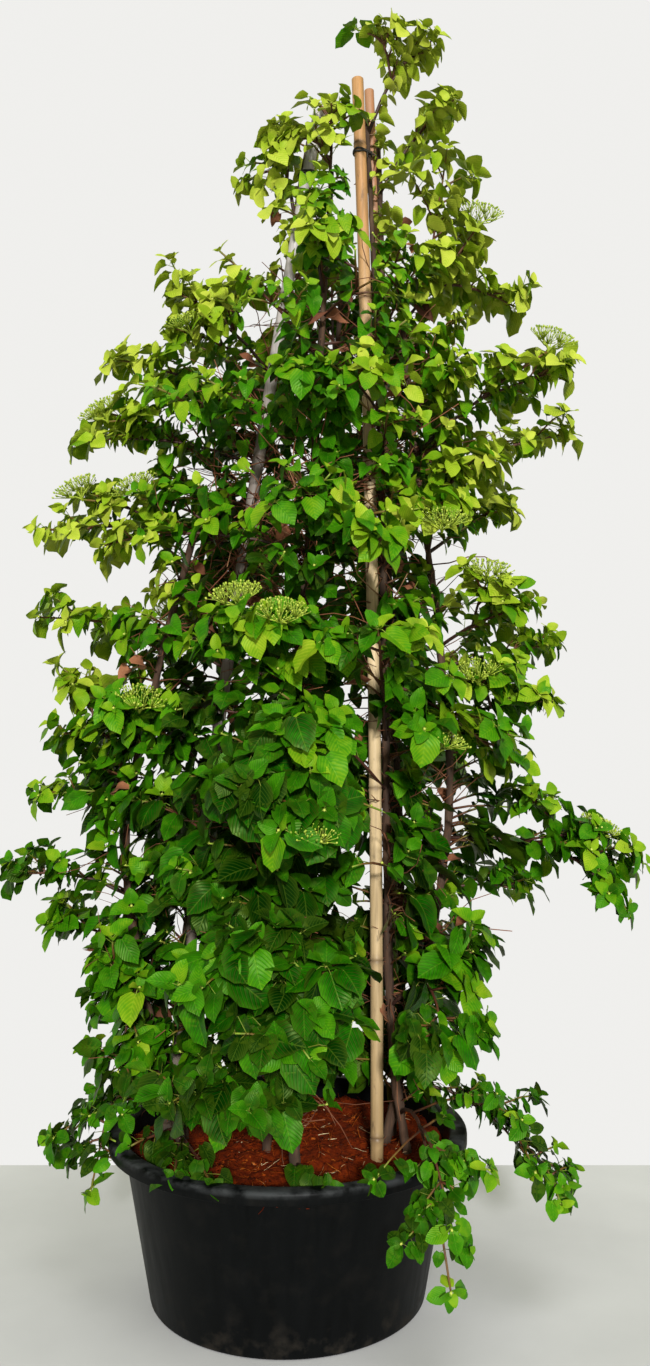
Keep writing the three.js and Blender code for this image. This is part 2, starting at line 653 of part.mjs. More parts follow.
// A flower head in bud: a short stalk that opens into a flat dome covered in knobs.
function headSolid(twig) {
  const axis = directionOn(twig, 1).multiplyScalar(0.45).addScaledVector(UP, 0.9).normalize();
  const points = HEAD_STATIONS.map(([along]) => twig.tip.clone().addScaledVector(axis, along));
  const radii = HEAD_STATIONS.map(([, radius]) => radius);
  const knobs = (ring, side) => (ring > 0 ? 0.86 + 0.22 * ((side + ring) % 2) : 1);
  return tubeSolid(points, radii, HEAD_SIDES, knobs);
}

// Room: every solid already placed, with its box and the name of its node.

const placed = [];

function boxesMeet(a, b) {
  return [0, 1, 2].every((axis) => a.min[axis] <= b.max[axis] && b.min[axis] <= a.max[axis]);
}

function place(owner, solid, isWood = false) {
  placed.push({ owner, solid, isWood, box: solid.boundingBox() });
}

// Whether a solid is clear of all that other nodes hold, and of the leaves and heads of its own.
function isClear(owner, solid) {
  const box = solid.boundingBox();
  return !placed.some((other) => {
    const mayMeet = other.owner === owner && other.isWood;
    return !mayMeet && boxesMeet(box, other.box) && solid.intersect(other.solid).volume() > 1e-6;
  });
}

// The twigs and flower heads of a spray.
function startSpray(name, spray) {
  const stemLine = stemLines[spray.stem].filter((point, index) => index % STEM_STRIDE === 0);
  const wood = spray.twigs.map((twig) => twigSolid(twig, stemLine));
  const heads = spray.twigs.filter((twig) => twig.head).map(headSolid);
  spray.parts = [...wood, ...heads];
  wood.forEach((solid) => place(name, solid, true));
  heads.forEach((solid) => place(name, solid));
}

// The leaves round a twig's end, at their own size, or a little less where a neighbour is close.
function addTipLeaves(name, spray, twig) {
  const centre = coarsePoint(twig, twig.leafShare);
  const size = SIZES_TO_TRY.find((share) => {
    return isClear(name, tipLeavesSolid(twig.tipLeaves, centre, share * ROOM_SHARE, ROOM_GAP));
  });
  if (size) {
    const solid = tipLeavesSolid(twig.tipLeaves, centre, size);
    spray.parts.push(solid);
    place(name, solid);
  }
}

// The longest side shoots of a spray that has few ends for its length, each with its own leaves.
function addShoots(name, spray) {
  const ends = Math.round(spray.twigs[0].length / LENGTH_PER_END);
  const wanted = Math.max(ends - spray.twigs.length, 0);
  const longest = [...spray.shoots].sort((a, b) => b.length - a.length).slice(0, wanted);
  longest.forEach((shoot) => {
    const solid = twigSolid(shoot);
    if (isClear(name, solid)) {
      spray.parts.push(solid);
      place(name, solid, true);
      addTipLeaves(name, spray, shoot);
    }
  });
}

// One spray as one solid, cut clear of the stem that it grows from.
function joinSpray(spray) {
  const joined = wasm.Manifold.union(spray.parts).subtract(buildStem(spray.stem, FIT_GAP));
  return joined.decompose().sort((a, b) => b.volume() - a.volume())[0];
}

// Materials, one for each mesh.

function finish(color, roughness) {
  return new THREE.MeshStandardMaterial({ color, roughness, metalness: 0 });
}

function potPlastic() {
  return finish(0x1b1d1f, 0.42);
}

function coirCompost() {
  return finish(0x7a3a1c, 0.97);
}

function bamboo(share) {
  return finish(new THREE.Color(0xc9b48a).lerp(new THREE.Color(0x8c7d6c), share), 0.6);
}

function bark() {
  return finish(0x6b4630, 0.9);
}

function tieTwine() {
  return finish(0x2a2420, 0.8);
}

function foliage(height) {
  return finish(new THREE.Color(0x2f6f1c).lerp(new THREE.Color(0x77a62f), height / 2400), 0.45);
}

// The whole plant.

const plant = new THREE.Group();
const ORIGIN = new THREE.Vector3();

function addMesh(name, solid, origin, material) {
  place(name, solid);
  plant.add(meshOf(name, solid, origin, material));
}

Object.entries(CANES).forEach(([name, cane], index) => {
  addMesh(name, buildCane(cane), canePoint(cane, CANE_FOOT), bamboo(index / 2));
});

Object.keys(stemLines).forEach((name) => {
  addMesh(name, buildStem(name), stemLines[name][0], bark());
});

addMesh('pot', buildPot(), ORIGIN, potPlastic());

const caneCutters = Object.values(CANES).map((cane) => buildCane(cane, FIT_GAP));
const stemCutters = Object.keys(stemLines).map((name) => buildStem(name, FIT_GAP));
addMesh('compost', buildCompost([...caneCutters, ...stemCutters]), ORIGIN, coirCompost());

Object.entries(TIES).forEach(([name, tie]) => {
  addMesh(name, buildTie(tie), canePoint(CANES[tie.cane], tie.height), tieTwine());
});

const sprays = Object.entries(SPRAYS).map(([name, row], order) => [name, growSpray(row, order)]);
sprays.forEach(([name, spray]) => startSpray(name, spray));
sprays.forEach(([name, spray]) => spray.twigs.forEach((twig) => addTipLeaves(name, spray, twig)));
sprays.forEach(([name, spray]) => addShoots(name, spray));
sprays.forEach(([name, spray]) => {
  const { base } = spray.twigs[0];
  plant.add(meshOf(name, joinSpray(spray), base, foliage(base.z)));
});

export default plant;
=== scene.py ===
# The looks of a climbing hydrangea in its black nursery pot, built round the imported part.
# Plant measures are in millimetres, as in the part's source, and turn to metres as a mesh is made.

import math

import bpy
import numpy as np
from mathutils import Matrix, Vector, noise


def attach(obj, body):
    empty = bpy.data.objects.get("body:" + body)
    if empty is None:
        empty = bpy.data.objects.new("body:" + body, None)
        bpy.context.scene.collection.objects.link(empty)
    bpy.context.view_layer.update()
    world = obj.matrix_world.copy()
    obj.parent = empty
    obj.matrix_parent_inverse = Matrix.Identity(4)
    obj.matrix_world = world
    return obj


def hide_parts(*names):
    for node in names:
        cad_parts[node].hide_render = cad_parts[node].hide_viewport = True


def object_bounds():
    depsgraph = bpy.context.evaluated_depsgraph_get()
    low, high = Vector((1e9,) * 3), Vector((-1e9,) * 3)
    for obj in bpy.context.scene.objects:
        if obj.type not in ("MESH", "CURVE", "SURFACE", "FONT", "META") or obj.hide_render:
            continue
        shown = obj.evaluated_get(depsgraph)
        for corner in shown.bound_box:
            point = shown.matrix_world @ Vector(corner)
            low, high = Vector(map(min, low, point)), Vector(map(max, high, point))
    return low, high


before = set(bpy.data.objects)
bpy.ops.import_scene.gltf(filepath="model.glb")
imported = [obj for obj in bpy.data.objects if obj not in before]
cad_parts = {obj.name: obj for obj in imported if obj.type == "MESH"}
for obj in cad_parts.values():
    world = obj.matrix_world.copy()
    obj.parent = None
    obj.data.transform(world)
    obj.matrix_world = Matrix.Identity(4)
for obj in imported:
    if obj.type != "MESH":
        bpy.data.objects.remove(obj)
CAD_BOX = [list(corner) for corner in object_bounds()]

MM = 0.001
UP = np.array([0.0, 0.0, 1.0])

# Camera, solved from the marks of the photograph's scale and the pot's outlines.
CAMERA_PLACE = (0.0676, -2.182, 1.0156)
CAMERA_TILT = 0.043
CAMERA_FOCAL_PIXELS = 1166.75
IMAGE_HEIGHT = 1366
SENSOR = 36.0
FLOOR_REACH = 30
FLOOR_BACK = 0.61
# Each lamp's place, angle and strength, and the room's white as it is seen and as it lights.
LAMPS = {"key": ((0.2, -2.9, 1.0), 0.1, 4.0), "above": ((0.5, -0.9, 3.0), 0.5, 0.7)}
ROOM_SEEN = (0.87, 0.865, 0.845, 1)
ROOM_LIGHT = (0.96, 1.0, 0.74, 1)
ROOM_STRENGTH = 0.56

# The pot and its filling, with the part's measures.
POT_SIDES = 120
POT_HEIGHT = 298
POT_BASE_RADIUS = 249
POT_NECK_RADIUS = 301
POT_RIM_RADIUS = 327
POT_WALL = 5
POT_CORNER = 7
LIP_DEPTH = 22
LIP_WALL = 4
DRAIN_HOLES = 6
DRAIN_RADIUS = 9
DRAIN_SIDES = 20
DRAIN_RING_RADIUS = 175
COMPOST_TOP = 260
COMPOST_SIDES = 128
COMPOST_RINGS = 52
COMPOST_SEED = 900
# What is strewn over the compost: count, rises, lifts, lengths, share that lies behind its place, wander,
# radii, how the radius runs along it, sides and tone.
FIBRES = (950, (-0.1, 0.35), (-1, 2), (8, 42), 0, 0.4, (0.35, 0.95), (0.7, 1, 1, 0.5), 3, 0.6)
CHIPS = (700, (-0.4, 0.4), (), (4, 15), 0.4, 0.2, (1.2, 3.4), (0.6, 1, 0.5), 4, 0.35)
CRUMBS = 60
STREWN_INSIDE = 8

# The canes, with the part's measures. CANE_RING holds the swell round a node, from below it to above, and
# CANES three places on each axis and its radius.
CANE_FOOT = 125
CANE_NODE_SPACING = 310
CANE_NODE_SWELL = 1.3
CANE_FIRST_NODE = 170
CANE_RING = [(-14, 0.0), (-7, 0.5), (-2.5, 1.15), (-0.5, 0.1), (1, 0.1), (2.5, 1.0), (6, 0.3), (14, 0.0)]
CANE_RING_REACH = 9
CANE_TOP_PLAIN = 40
CANE_SEED = 700
CANE_STEP = 35
CANE_SIDES = 20
CANE_BEVEL = 1.2
CANES = {
    "cane_front": {"places": [(160, -70, 260), (159, -30, 1000), (131, 40, 2290)], "radius": 11.5},
    "cane_left": {"places": [(-225, 15, 260), (-61, 0, 1510), (56, -4, 2200)], "radius": 11},
    "cane_back_right": {"places": [(207, 125, 260), (198, 112, 980), (155, 80, 2290)], "radius": 9.5},
}

# The woody stems, as in the part. Those that lean have a cane, the side of it that they lean on and how
# far they sway round it, how far their roots stand off, and their top.
STEM_FOOT = 135
STEM_FOOT_RADIUS = 9
STEM_TOP_RADIUS = 4.5
STEM_TOP = 2200
STEM_STEPS = 8
LEAN_GAP = 2
LEANING_STEMS = {
    "stem_on_front_cane": ("cane_front", 20, 20, (38, 14), 2225),
    "stem_on_left_cane": ("cane_left", 112, 22, (45, 14), 2150),
    "stem_on_back_cane": ("cane_back_right", 300, 22, (-28, -36), 2190),
}
STEM_SEED = 500
STEM_SIDES = 9
SWAY_HEIGHT = 300
ROOT_SWEEP_HEIGHT = 160
FREE_STEMS = {
    "stem_centre": [(-40, -20, 135), (-30, -60, 500), (0, -100, 950), (40, -80, 1400), (65, -75, 1800),
                    (80, -70, 2050)],
    "stem_right": [(150, 30, 135), (220, -10, 450), (300, 20, 850), (285, 40, 1200), (245, 30, 1500),
                   (215, 10, 1800)],
    "stem_left_low": [(-140, -60, 135), (-235, -60, 450), (-300, -20, 800), (-245, -45, 1100),
                      (-165, -70, 1400)],
    "stem_back": [(30, 140, 135), (-20, 170, 500), (0, 165, 900), (40, 155, 1300), (80, 140, 1650),
                  (105, 130, 1950)],
    "stem_front_low": [(20, -160, 135), (10, -200, 450), (-30, -195, 750), (-20, -165, 1050)],
}
# Short names of the stems.
ON_FRONT, ON_LEFT, ON_BACK = LEANING_STEMS
CENTRE, RIGHT, LEFT_LOW, BACK, FRONT_LOW = FREE_STEMS

# Ties near the top, as in the part: cane, stem and height.
TIES = {
    "tie_front_cane": ("cane_front", ON_FRONT, 2140),
    "tie_left_cane": ("cane_left", ON_LEFT, 2080),
}
TIE_RADIUS = 2.2
TIE_ARC = 10
TIE_TURNS = (-2.2, 2.0)
TIE_END = 26
FIT_GAP = 0.4

# Twigs, leaves and flower heads, as in the part.
TWIG_RADII = {"main": (3.8, 1.7), "fork": (3.0, 1.7), "shoot": (2.4, 1.6)}
FORK_START = 0.3
FORK_STEP = 0.12
SHOOT_SPACING = 95
SHOOT_LONGEST = 175
SHOOT_SHORTEST = 60
TIP_REACH = 25
LEAVES_AT_TIP = 4
BLADE_START = 0.28
HEAD_RADIUS = 46
LEAVES_BELOW_HEAD = 0.78
PLANT_AXIS_X = 60

# Leafy sprays, as in the part: stem, height and usual leaf length, then tips as (x, y, z, lift) or,
# with a flower head, (x, y, z, lift, 1).
SPRAYS = {
    "spray_right_218": (ON_FRONT, 2180, 38, (280, 50, 2370, 80), (165, 0, 2395, 10)),
    "spray_back_208": (ON_BACK, 2080, 40, (340, 100, 2300, 40)),
    "spray_left_200": (ON_LEFT, 2000, 38, (-35, 0, 2200, 20), (-60, -60, 2020, 60)),
    "spray_right_178": (ON_BACK, 1780, 46, (375, 0, 2000, -20, 1), (300, -50, 2135, -30),
        (460, 80, 1850, 30)),
    "spray_right_155": (RIGHT, 1550, 40, (500, -60, 1735, 20, 1), (540, -10, 1705, 20)),
    "spray_right_150": (ON_BACK, 1500, 40, (565, 50, 1600, 20)),
    "spray_right_138": (ON_FRONT, 1380, 44, (380, -120, 1520, 20), (272, -200, 1350, 50, 1)),
    "spray_right_136": (RIGHT, 1360, 42, (440, 120, 1480, 10)),
    "spray_right_118": (RIGHT, 1180, 42, (440, -80, 1250, 20), (360, -120, 1300, 20, 1)),
    "spray_right_112": (ON_BACK, 1120, 40, (520, 60, 1190, 10)),
    "spray_right_104": (RIGHT, 1040, 42, (510, -40, 1080, 20), (330, -150, 1110, 30, 1)),
    "spray_right_100": (ON_FRONT, 1000, 50, (150, -340, 1195, 20), (275, -210, 965, 40, 1),
        (400, -100, 960, 30)),
    "spray_right_82": (RIGHT, 820, 40, (660, 0, 768, 30), (590, -30, 822, 20, 1),
        (620, -100, 690, 30), (430, -20, 905, 40)),
    "spray_right_68": (ON_BACK, 680, 44, (480, 120, 710, 50)),
    "spray_right_52": (ON_FRONT, 520, 56, (340, -150, 650, 20), (270, -250, 480, 50)),
    "spray_right_36": (RIGHT, 360, 34, (480, 0, 200, 110), (515, -80, 175, 60)),
    "spray_front_33": (ON_FRONT, 330, 32, (264, -380, 150, 190), (268, -360, 235, 60)),
    "spray_left_170": (ON_LEFT, 1700, 40, (-235, -50, 1850, 40), (-80, 60, 1890, 10),
        (-190, -90, 1730, 40, 1)),
    "spray_left_162": (ON_LEFT, 1620, 40, (-360, 50, 1742, 40)),
    "spray_left_152": (ON_LEFT, 1520, 40, (-430, 20, 1570, 60), (-360, -40, 1600, 30, 1)),
    "spray_left_136": (ON_LEFT, 1360, 40, (-470, 0, 1390, 60), (-410, -20, 1460, 30, 1)),
    "spray_left_134": (CENTRE, 1340, 42, (-350, -120, 1350, 60), (-290, -90, 1450, 30, 1)),
    "spray_left_118": (ON_LEFT, 1180, 42, (-500, 30, 1240, 20)),
    "spray_front_112": (CENTRE, 1120, 48, (-80, -340, 1225, 20, 1), (0, -360, 1190, 20, 1)),
    "spray_left_98": (LEFT_LOW, 980, 44, (-440, -20, 1020, 30), (-240, -190, 1060, 30, 1),
        (-400, 10, 1115, 30)),
    "spray_left_84": (ON_LEFT, 840, 40, (-490, 50, 908, 30), (-390, 80, 985, 20)),
    "spray_left_72": (LEFT_LOW, 720, 42, (-530, -30, 757, 40)),
    "spray_left_54": (ON_LEFT, 540, 48, (-440, 80, 670, 20), (-360, 20, 480, 40)),
    "spray_left_48": (LEFT_LOW, 480, 52, (-320, -120, 630, 20), (-300, -110, 400, 40)),
    "spray_left_33": (LEFT_LOW, 330, 36, (-450, 50, 230, 120), (-350, -110, 195, 100)),
    "spray_front_32": (FRONT_LOW, 320, 58, (-85, -300, 440, 40), (-200, -260, 420, 40)),
    "spray_front_182": (CENTRE, 1820, 40, (20, -200, 1960, 20), (85, -225, 1880, 20)),
    "spray_front_152": (CENTRE, 1520, 44, (30, -280, 1640, 20), (190, -240, 1640, 20)),
    "spray_front_130": (CENTRE, 1300, 46, (45, -320, 1415, 20), (180, -280, 1325, 20)),
    "spray_front_82": (FRONT_LOW, 820, 60, (30, -370, 1030, 10), (110, -350, 900, 30),
        (-90, -340, 910, 30), (50, -380, 820, 30, 1)),
    "spray_front_58": (FRONT_LOW, 580, 64, (-50, -370, 700, 20), (-160, -310, 590, 30)),
    "spray_front_48": (FRONT_LOW, 450, 64, (75, -350, 670, 10), (-5, -380, 525, 40)),
    "spray_back_172": (BACK, 1720, 42, (80, 250, 2040, 10), (-80, 290, 1770, 30),
        (200, 280, 1830, 20, 1)),
    "spray_back_140": (BACK, 1400, 46, (300, 290, 1570, 20), (50, 320, 1480, 20)),
    "spray_back_118": (BACK, 1180, 46, (-200, 290, 1480, 20), (-280, 230, 1240, 30, 1)),
    "spray_back_100": (BACK, 1000, 52, (10, 340, 1180, 20), (220, 330, 1240, 20)),
    "spray_back_80": (BACK, 800, 56, (340, 280, 960, 20), (120, 360, 910, 20, 1)),
    "spray_back_62": (BACK, 620, 58, (-240, 300, 900, 20), (-60, 360, 700, 30)),
    "spray_back_40": (BACK, 400, 62, (280, 320, 600, 20), (80, 360, 470, 30), (-280, 260, 500, 30),
        (-140, 340, 380, 60)),
    "spray_front_199": (CENTRE, 1990, 40, (80, -40, 2220, 0), (25, -90, 2130, 10)),
}

# What the scene adds to each twig: pairs of leaves along it, spaced for leaves of the next length, and small
# young leaves at its end. Low leaves are folded and bowed less than high ones.
PAIR_SPACING = 26
PAIR_LEAF = 45
PAIRS_START = 0.15
SHOOT_PAIRS_START = 0.2
PAIRS_END = 0.93
YOUNG_LEAVES = 3
LOW_PART_TO = 1050
LOW_FOLD_AND_BOW = ((-0.25, 0.4), (0.1, 0.55))
HIGH_FOLD_AND_BOW = ((-0.2, 0.65), (0.3, 0.85))
# Short leafy shoots on the twigs of sprays: how many on short and on long ones, their lengths for leaves of
# the next length, and how long the added leaves are at a height, as a share of the usual length.
FINE_SHOOTS = (3, 5)
MORE_SHOOTS_FROM = 150
FINE_SHOOT_LENGTHS = (30, 75)
FINE_SHOOT_LEAF = 42
FINE_LEAF_SHARES = [(1000, 0.88), (1200, 0.78)]
# Flower heads in bud.
BRANCHES_PER_HEAD = 9
BUDS_PER_HEAD = 90
GOLDEN_ANGLE = 2.39996

# What the scene adds to each stem: leafy side shoots that reach the outside of the plant's column, given
# as height, middle and reach to the side, and how long leaves usually are at a height. The spacings are
# those of the low part, the middle and the narrow top, and long shoots fork.
LATERALS_FROM = 320
LATERAL_SPACING = (31, 45, 24)
FORKED_FROM = 130
SIDE_SHOOT_LENGTHS = (55, 100)
SIDE_SHOOT_PAST = 25
TWIG_CANE_GAP = 4
LATERAL_LONGEST = 330
LATERAL_SHORTEST = (50, 20)
NARROW_FROM = 1900
COLUMN = [
    (300, -20, 250), (450, -40, 245), (700, -35, 265), (850, -30, 275), (950, -30, 280), (1080, -35, 270),
    (1225, -20, 255), (1340, 30, 265), (1455, 10, 330), (1580, 20, 335), (1700, 60, 305), (1830, 105, 185),
    (1900, 105, 120), (2000, 105, 80), (2130, 115, 45), (2350, 130, 30),
]
COLUMN_DEPTH_SHARE = 0.97
# Shoots that start outside the column on the right are thinned out between two heights.
RIGHT_OF = 120
RIGHT_THIN = (430, 1260)
RIGHT_THINNED = 0.6
LEAF_LENGTHS = [(300, 58), (800, 55), (1100, 43), (1500, 34), (2300, 29)]
INNER_LEAF_GROWTH = 0.22
BOX_SLACK = 10

# How light leaves are at a height, how much lighter to the side and outward on their twig, and how far single
# leaves and patches differ.
# Besides age, these paint light and shade: leaves are darker low down and inside the plant, and lighter high
# up and to the sides.
LEAF_TONES = [(250, 0.12), (850, 0.19), (1050, 0.34), (1400, 0.53), (2000, 0.64), (2300, 0.74)]
ASIDE_PAINTED_LIGHT = [(1000, 0.22), (1400, 0.44)]
ASIDE_MIDDLE, ASIDE_MOST = 0.45, 1.3
SHARE_TONE, SHARE_MIDDLE = 0.33, 0.7
TONE_SPREAD = 0.09
PATCH_TONE = 0.42
PATCH_SIZE = 85

# What clings to a stem: rootlets and dead twigs, as count for each metre, lengths, radii, points, wander
# and tone, and withered leaves for each metre.
CLING_FROM = 330
ROOTLETS = (50, (12, 40), (0.45, 0.7), 4, 0.6, 0.6)
DEAD_TWIGS = (60, (50, 190), (0.9, 1.9), 5, 0.4, 0.35)
WITHERED_LEAVES = 12

# Where dead twigs crowd on a stem: lowest, highest and how many.
TANGLES = {ON_LEFT: (1230, 1650, 210), CENTRE: (1080, 1500, 170), ON_FRONT: (1250, 1750, 90)}
TANGLED_TWIGS = ((70, 210), (1.0, 2.1), 5, 0.5, 0.45)

# Short leafy shoots that fill the plant's inside: stem, lowest, highest, how many, and the bearing in
# degrees that they keep to with its spread.
INNER_SHOOTS = [
    (ON_FRONT, 600, 1750, 28, -50, 45), (ON_FRONT, 700, 1750, 32, 135, 30),
    (CENTRE, 750, 1650, 28, 0, 60), (ON_LEFT, 1050, 1700, 30, 200, 80),
    (RIGHT, 790, 990, 14, 5, 50),
    (LEFT_LOW, 850, 1380, 12, 200, 80), (BACK, 300, 650, 22, 0, 90),
    (ON_BACK, 300, 650, 14, 150, 60), (ON_FRONT, 330, 700, 12, 120, 45),
    (ON_LEFT, 1440, 1640, 10, 10, 40), (CENTRE, 1400, 1500, 6, 90, 80),
]
INNER_SHOOT_LENGTHS = (45, 115)
# Leaves of inner shoots count as nearer their twig's base, which darkens them: partly older leaves, partly
# painted shade of the plant's inside.
INNER_SHARE_DROP = 0.45

# Low shoots that creep over the compost to the rim: stem, height, then the tip.
CREEPERS = [(LEFT_LOW, 290, (-178, -258, 296)), (LEFT_LOW, 300, (-110, -286, 292)),
            (LEFT_LOW, 310, (-268, -140, 305)), (FRONT_LOW, 292, (70, -296, 294))]
CREEPER_LEAF = 36
CREEPER_CLEARANCE = 274

# The canes show between the leaves, seen a little from the left: the heights at which blades cross the
# front of the front cane, and the share of them that hang before the left cane above the given height.
SEEN_FROM_LEFT = 0.04
CANE_MARGIN = 2
LEAVES_OVER_CANE = [(1050, 1080), (1170, 1215), (1290, 1375), (1460, 1580), (1640, 1750)]
LEFT_CANE_SEEN_FROM = 1670
SHARE_OVER_LEFT_CANE = 0.15

# Where the tangle of dead twigs shows between the leaves: the range across, how far to the front, the
# heights, and the share of blades that hang before it.
TANGLE_ACROSS = (-270, 20)
TANGLE_FRONT = -40
TANGLE_HEIGHTS = (1260, 1450)
SHARE_OVER_TANGLE = 0.5

# The compost lies open to the front: what rises how steeply, from where on the right and on the left.
SKIRT_HEIGHT = 305
SKIRT_SLOPE = 0.32
SKIRT_RIGHT = (20, 60)
SKIRT_LEFT = -20

# Half of a leaf's outline, stalk end first: shares of its length across and along.
LEAF_OUTLINE = [
    (0.0, 0.0), (0.13, -0.06), (0.27, -0.05), (0.39, 0.05), (0.465, 0.2), (0.49, 0.37),
    (0.46, 0.54), (0.38, 0.7), (0.275, 0.82), (0.165, 0.905), (0.07, 0.96), (0.0, 1.02),
]
LEAF_THICKNESS = 0.012
LEAF_PUFF = 0.016
LEAF_MIDDLE = 0.45
# Lengths from which a leaf is large and below which it is small, and how far its middle keeps from canes:
# a share of its length and a little more.
LARGE_LEAF = 52
SMALL_LEAF = 39
LEAF_CANE_GAP = (0.4, 3)


def vec(*numbers):
    return np.array(numbers, float)


def unit(vector):
    return vector / np.linalg.norm(vector)


def units(vectors):
    return vectors / np.linalg.norm(vectors, axis=-1, keepdims=True)


def at_height(table, height, column=1):
    """A column of a table at a height, between its rows."""
    return np.interp(height, [row[0] for row in table], [row[column] for row in table])


def bowed(start, control, end, share):
    """A place on the curve from start to end that control draws aside."""
    return (1 - share) ** 2 * start + 2 * share * (1 - share) * control + share**2 * end


# Lines and twigs, laid out as in the part.


def make_random(seed):
    """The part's own stream of numbers from 0 to 1, so that twigs and tip leaves fall in the same places."""
    state = seed

    def draw():
        nonlocal state
        state = (state * 1664525 + 1013904223) & 0xFFFFFFFF
        return state / 4294967296

    draw()
    draw()
    return draw


def cane_point(cane, height):
    """A place on a cane's axis, which is a parabola through its three places."""
    (x0, y0, z0), (x1, y1, z1), (x2, y2, z2) = cane["places"]
    share0 = (height - z1) * (height - z2) / ((z0 - z1) * (z0 - z2))
    share1 = (height - z0) * (height - z2) / ((z1 - z0) * (z1 - z2))
    share2 = (height - z0) * (height - z1) / ((z2 - z0) * (z2 - z1))
    return vec(share0 * x0 + share1 * x1 + share2 * x2, share0 * y0 + share1 * y1 + share2 * y2, height)


def smooth_line(corners):
    """A curve through the corners, in even steps between each two."""
    places = [vec(*corner) for corner in corners]
    line = []
    for span in range(len(places) - 1):
        p0 = places[max(span - 1, 0)]
        p1 = places[span]
        p2 = places[span + 1]
        p3 = places[min(span + 2, len(places) - 1)]
        for step in range(STEM_STEPS):
            t = step / STEM_STEPS
            line.append(0.5 * ((-t + 2 * t**2 - t**3) * p0 + (2 - 5 * t**2 + 3 * t**3) * p1
                               + (t + 4 * t**2 - 3 * t**3) * p2 + (-t**2 + t**3) * p3))
    line.append(places[-1])
    return np.array(line)


def stem_radius(height):
    share = min(max((height - STEM_FOOT) / (STEM_TOP - STEM_FOOT), 0), 1)
    return STEM_FOOT_RADIUS + (STEM_TOP_RADIUS - STEM_FOOT_RADIUS) * share


def leaning_line(cane, side, sway, root, top, steps=36):
    """A stem that winds a little round a cane, with its root swept aside."""
    cane = CANES[cane]
    line = []
    for step in range(steps + 1):
        height = STEM_FOOT + (top - STEM_FOOT) * step / steps
        angle = math.radians(side + sway * math.sin(height / SWAY_HEIGHT))
        sweep = math.exp(-max(height - COMPOST_TOP, 0) / ROOT_SWEEP_HEIGHT)
        distance = cane["radius"] + CANE_NODE_SWELL + stem_radius(height) + LEAN_GAP
        place = cane_point(cane, height)
        place[0] += distance * math.cos(angle) + root[0] * sweep
        place[1] += distance * math.sin(angle) + root[1] * sweep
        line.append(place)
    return np.array(line)


STEM_LINES = {name: leaning_line(*stem) for name, stem in LEANING_STEMS.items()}
STEM_LINES.update({name: smooth_line(corners) for name, corners in FREE_STEMS.items()})


def line_at(line, height):
    above = max(int(np.argmax(line[:, 2] >= height)), 1)
    low, high = line[above - 1], line[above]
    return low + (high - low) * (height - low[2]) / (high[2] - low[2])


class Twig:
    """A line bowed between its base and its tip."""

    def __init__(self, kind, base, tip, lift, head=0):
        self.kind, self.base, self.tip, self.head = kind, base, tip, head
        self.control = (base + tip) / 2 + lift * UP
        self.length = np.linalg.norm(tip - base)
        self.leaf_share = LEAVES_BELOW_HEAD if head else 1.0

    def point(self, s):
        return bowed(self.base, self.control, self.tip, s)

    def direction(self, s):
        return unit((1 - s) * (self.control - self.base) + s * (self.tip - self.control))


def shoot_from(base, heading, length, lift=0.12, kind="shoot"):
    return Twig(kind, base, base + length * heading, lift * length)


def level_across(along):
    """A level direction square to another."""
    level = np.cross(along, UP)
    if np.linalg.norm(level) < 0.05:
        level = vec(1, 0, 0)
    return unit(level)


def radial_at(axis, angle):
    """A direction square to an axis, at an angle round it."""
    level = level_across(axis)
    return level * math.cos(angle) + np.cross(axis, level) * math.sin(angle)


def heading_at(angle, rise):
    return vec(math.cos(angle), math.sin(angle), rise)


def outward_at(place):
    """The level direction away from the plant's axis."""
    return unit(vec(place[0] - PLANT_AXIS_X, place[1], 0) + 1e-6)


class Leaf:
    """A blade: the root and heel of its stalk, where it points and faces, its length, fold and bow, and how
    far along its twig it grows."""

    def __init__(self, root, heel, pointing, facing, length, fold, bow, share):
        self.root, self.heel, self.pointing, self.facing = root, heel, pointing, facing
        self.length, self.fold, self.bow, self.share = length, fold, bow, share

    def along(self, share):
        return self.heel + share * self.length * self.pointing


def grow_shoots(twig, draw):
    """The side shoots that the part has along a twig."""
    count = max(2, math.floor(twig.length / SHOOT_SPACING + 0.5))
    shoots = []
    for index in range(count):
        s = 0.2 + 0.68 * (index + 0.5) / count
        along = twig.direction(s)
        level = level_across(along)
        hand = 1 if index % 2 else -1
        rise = -0.3 + 0.8 * draw()
        wanted = twig.length * (0.46 - 0.24 * s) * (0.8 + 0.4 * draw())
        length = min(max(wanted, SHOOT_SHORTEST), SHOOT_LONGEST)
        heading = unit(0.7 * along + 0.75 * hand * level + rise * UP)
        shoots.append(shoot_from(twig.point(s), heading, length))
    return shoots


def fine_leaf_length(twig, usual):
    """The usual length of the leaves that the scene adds to a spray's twig."""
    return usual * at_height(FINE_LEAF_SHARES, twig.tip[2])


def grow_tip_leaves(twig, usual, draw):
    """The leaves that the part has at the end of a twig."""
    centre = twig.point(twig.leaf_share)
    outward = outward_at(centre)
    axis = 0.4 * twig.direction(twig.leaf_share) + 0.75 * UP
    axis = unit(axis + (0.3 + 0.2 * draw()) * outward)
    turn = 2 * math.pi * draw()
    leaves = []
    for index in range(LEAVES_AT_TIP):
        angle = turn + (index + 0.2 * (draw() - 0.5)) / LEAVES_AT_TIP * 2 * math.pi
        radial = radial_at(axis, angle)
        droop = 0.15 + 0.5 * draw()
        pointing = radial * math.cos(droop) - axis * math.sin(droop)
        facing = axis * math.cos(droop) + radial * math.sin(droop)
        length = usual * (0.85 if index % 2 else 1) * (0.85 + 0.3 * draw())
        heel = centre + radial * BLADE_START * length
        fold = 0.1 + 0.25 * draw()
        bow = 0.06 + 0.14 * draw()
        leaves.append(Leaf(centre, heel, pointing, facing, length, fold, bow, 1.0))
    return leaves


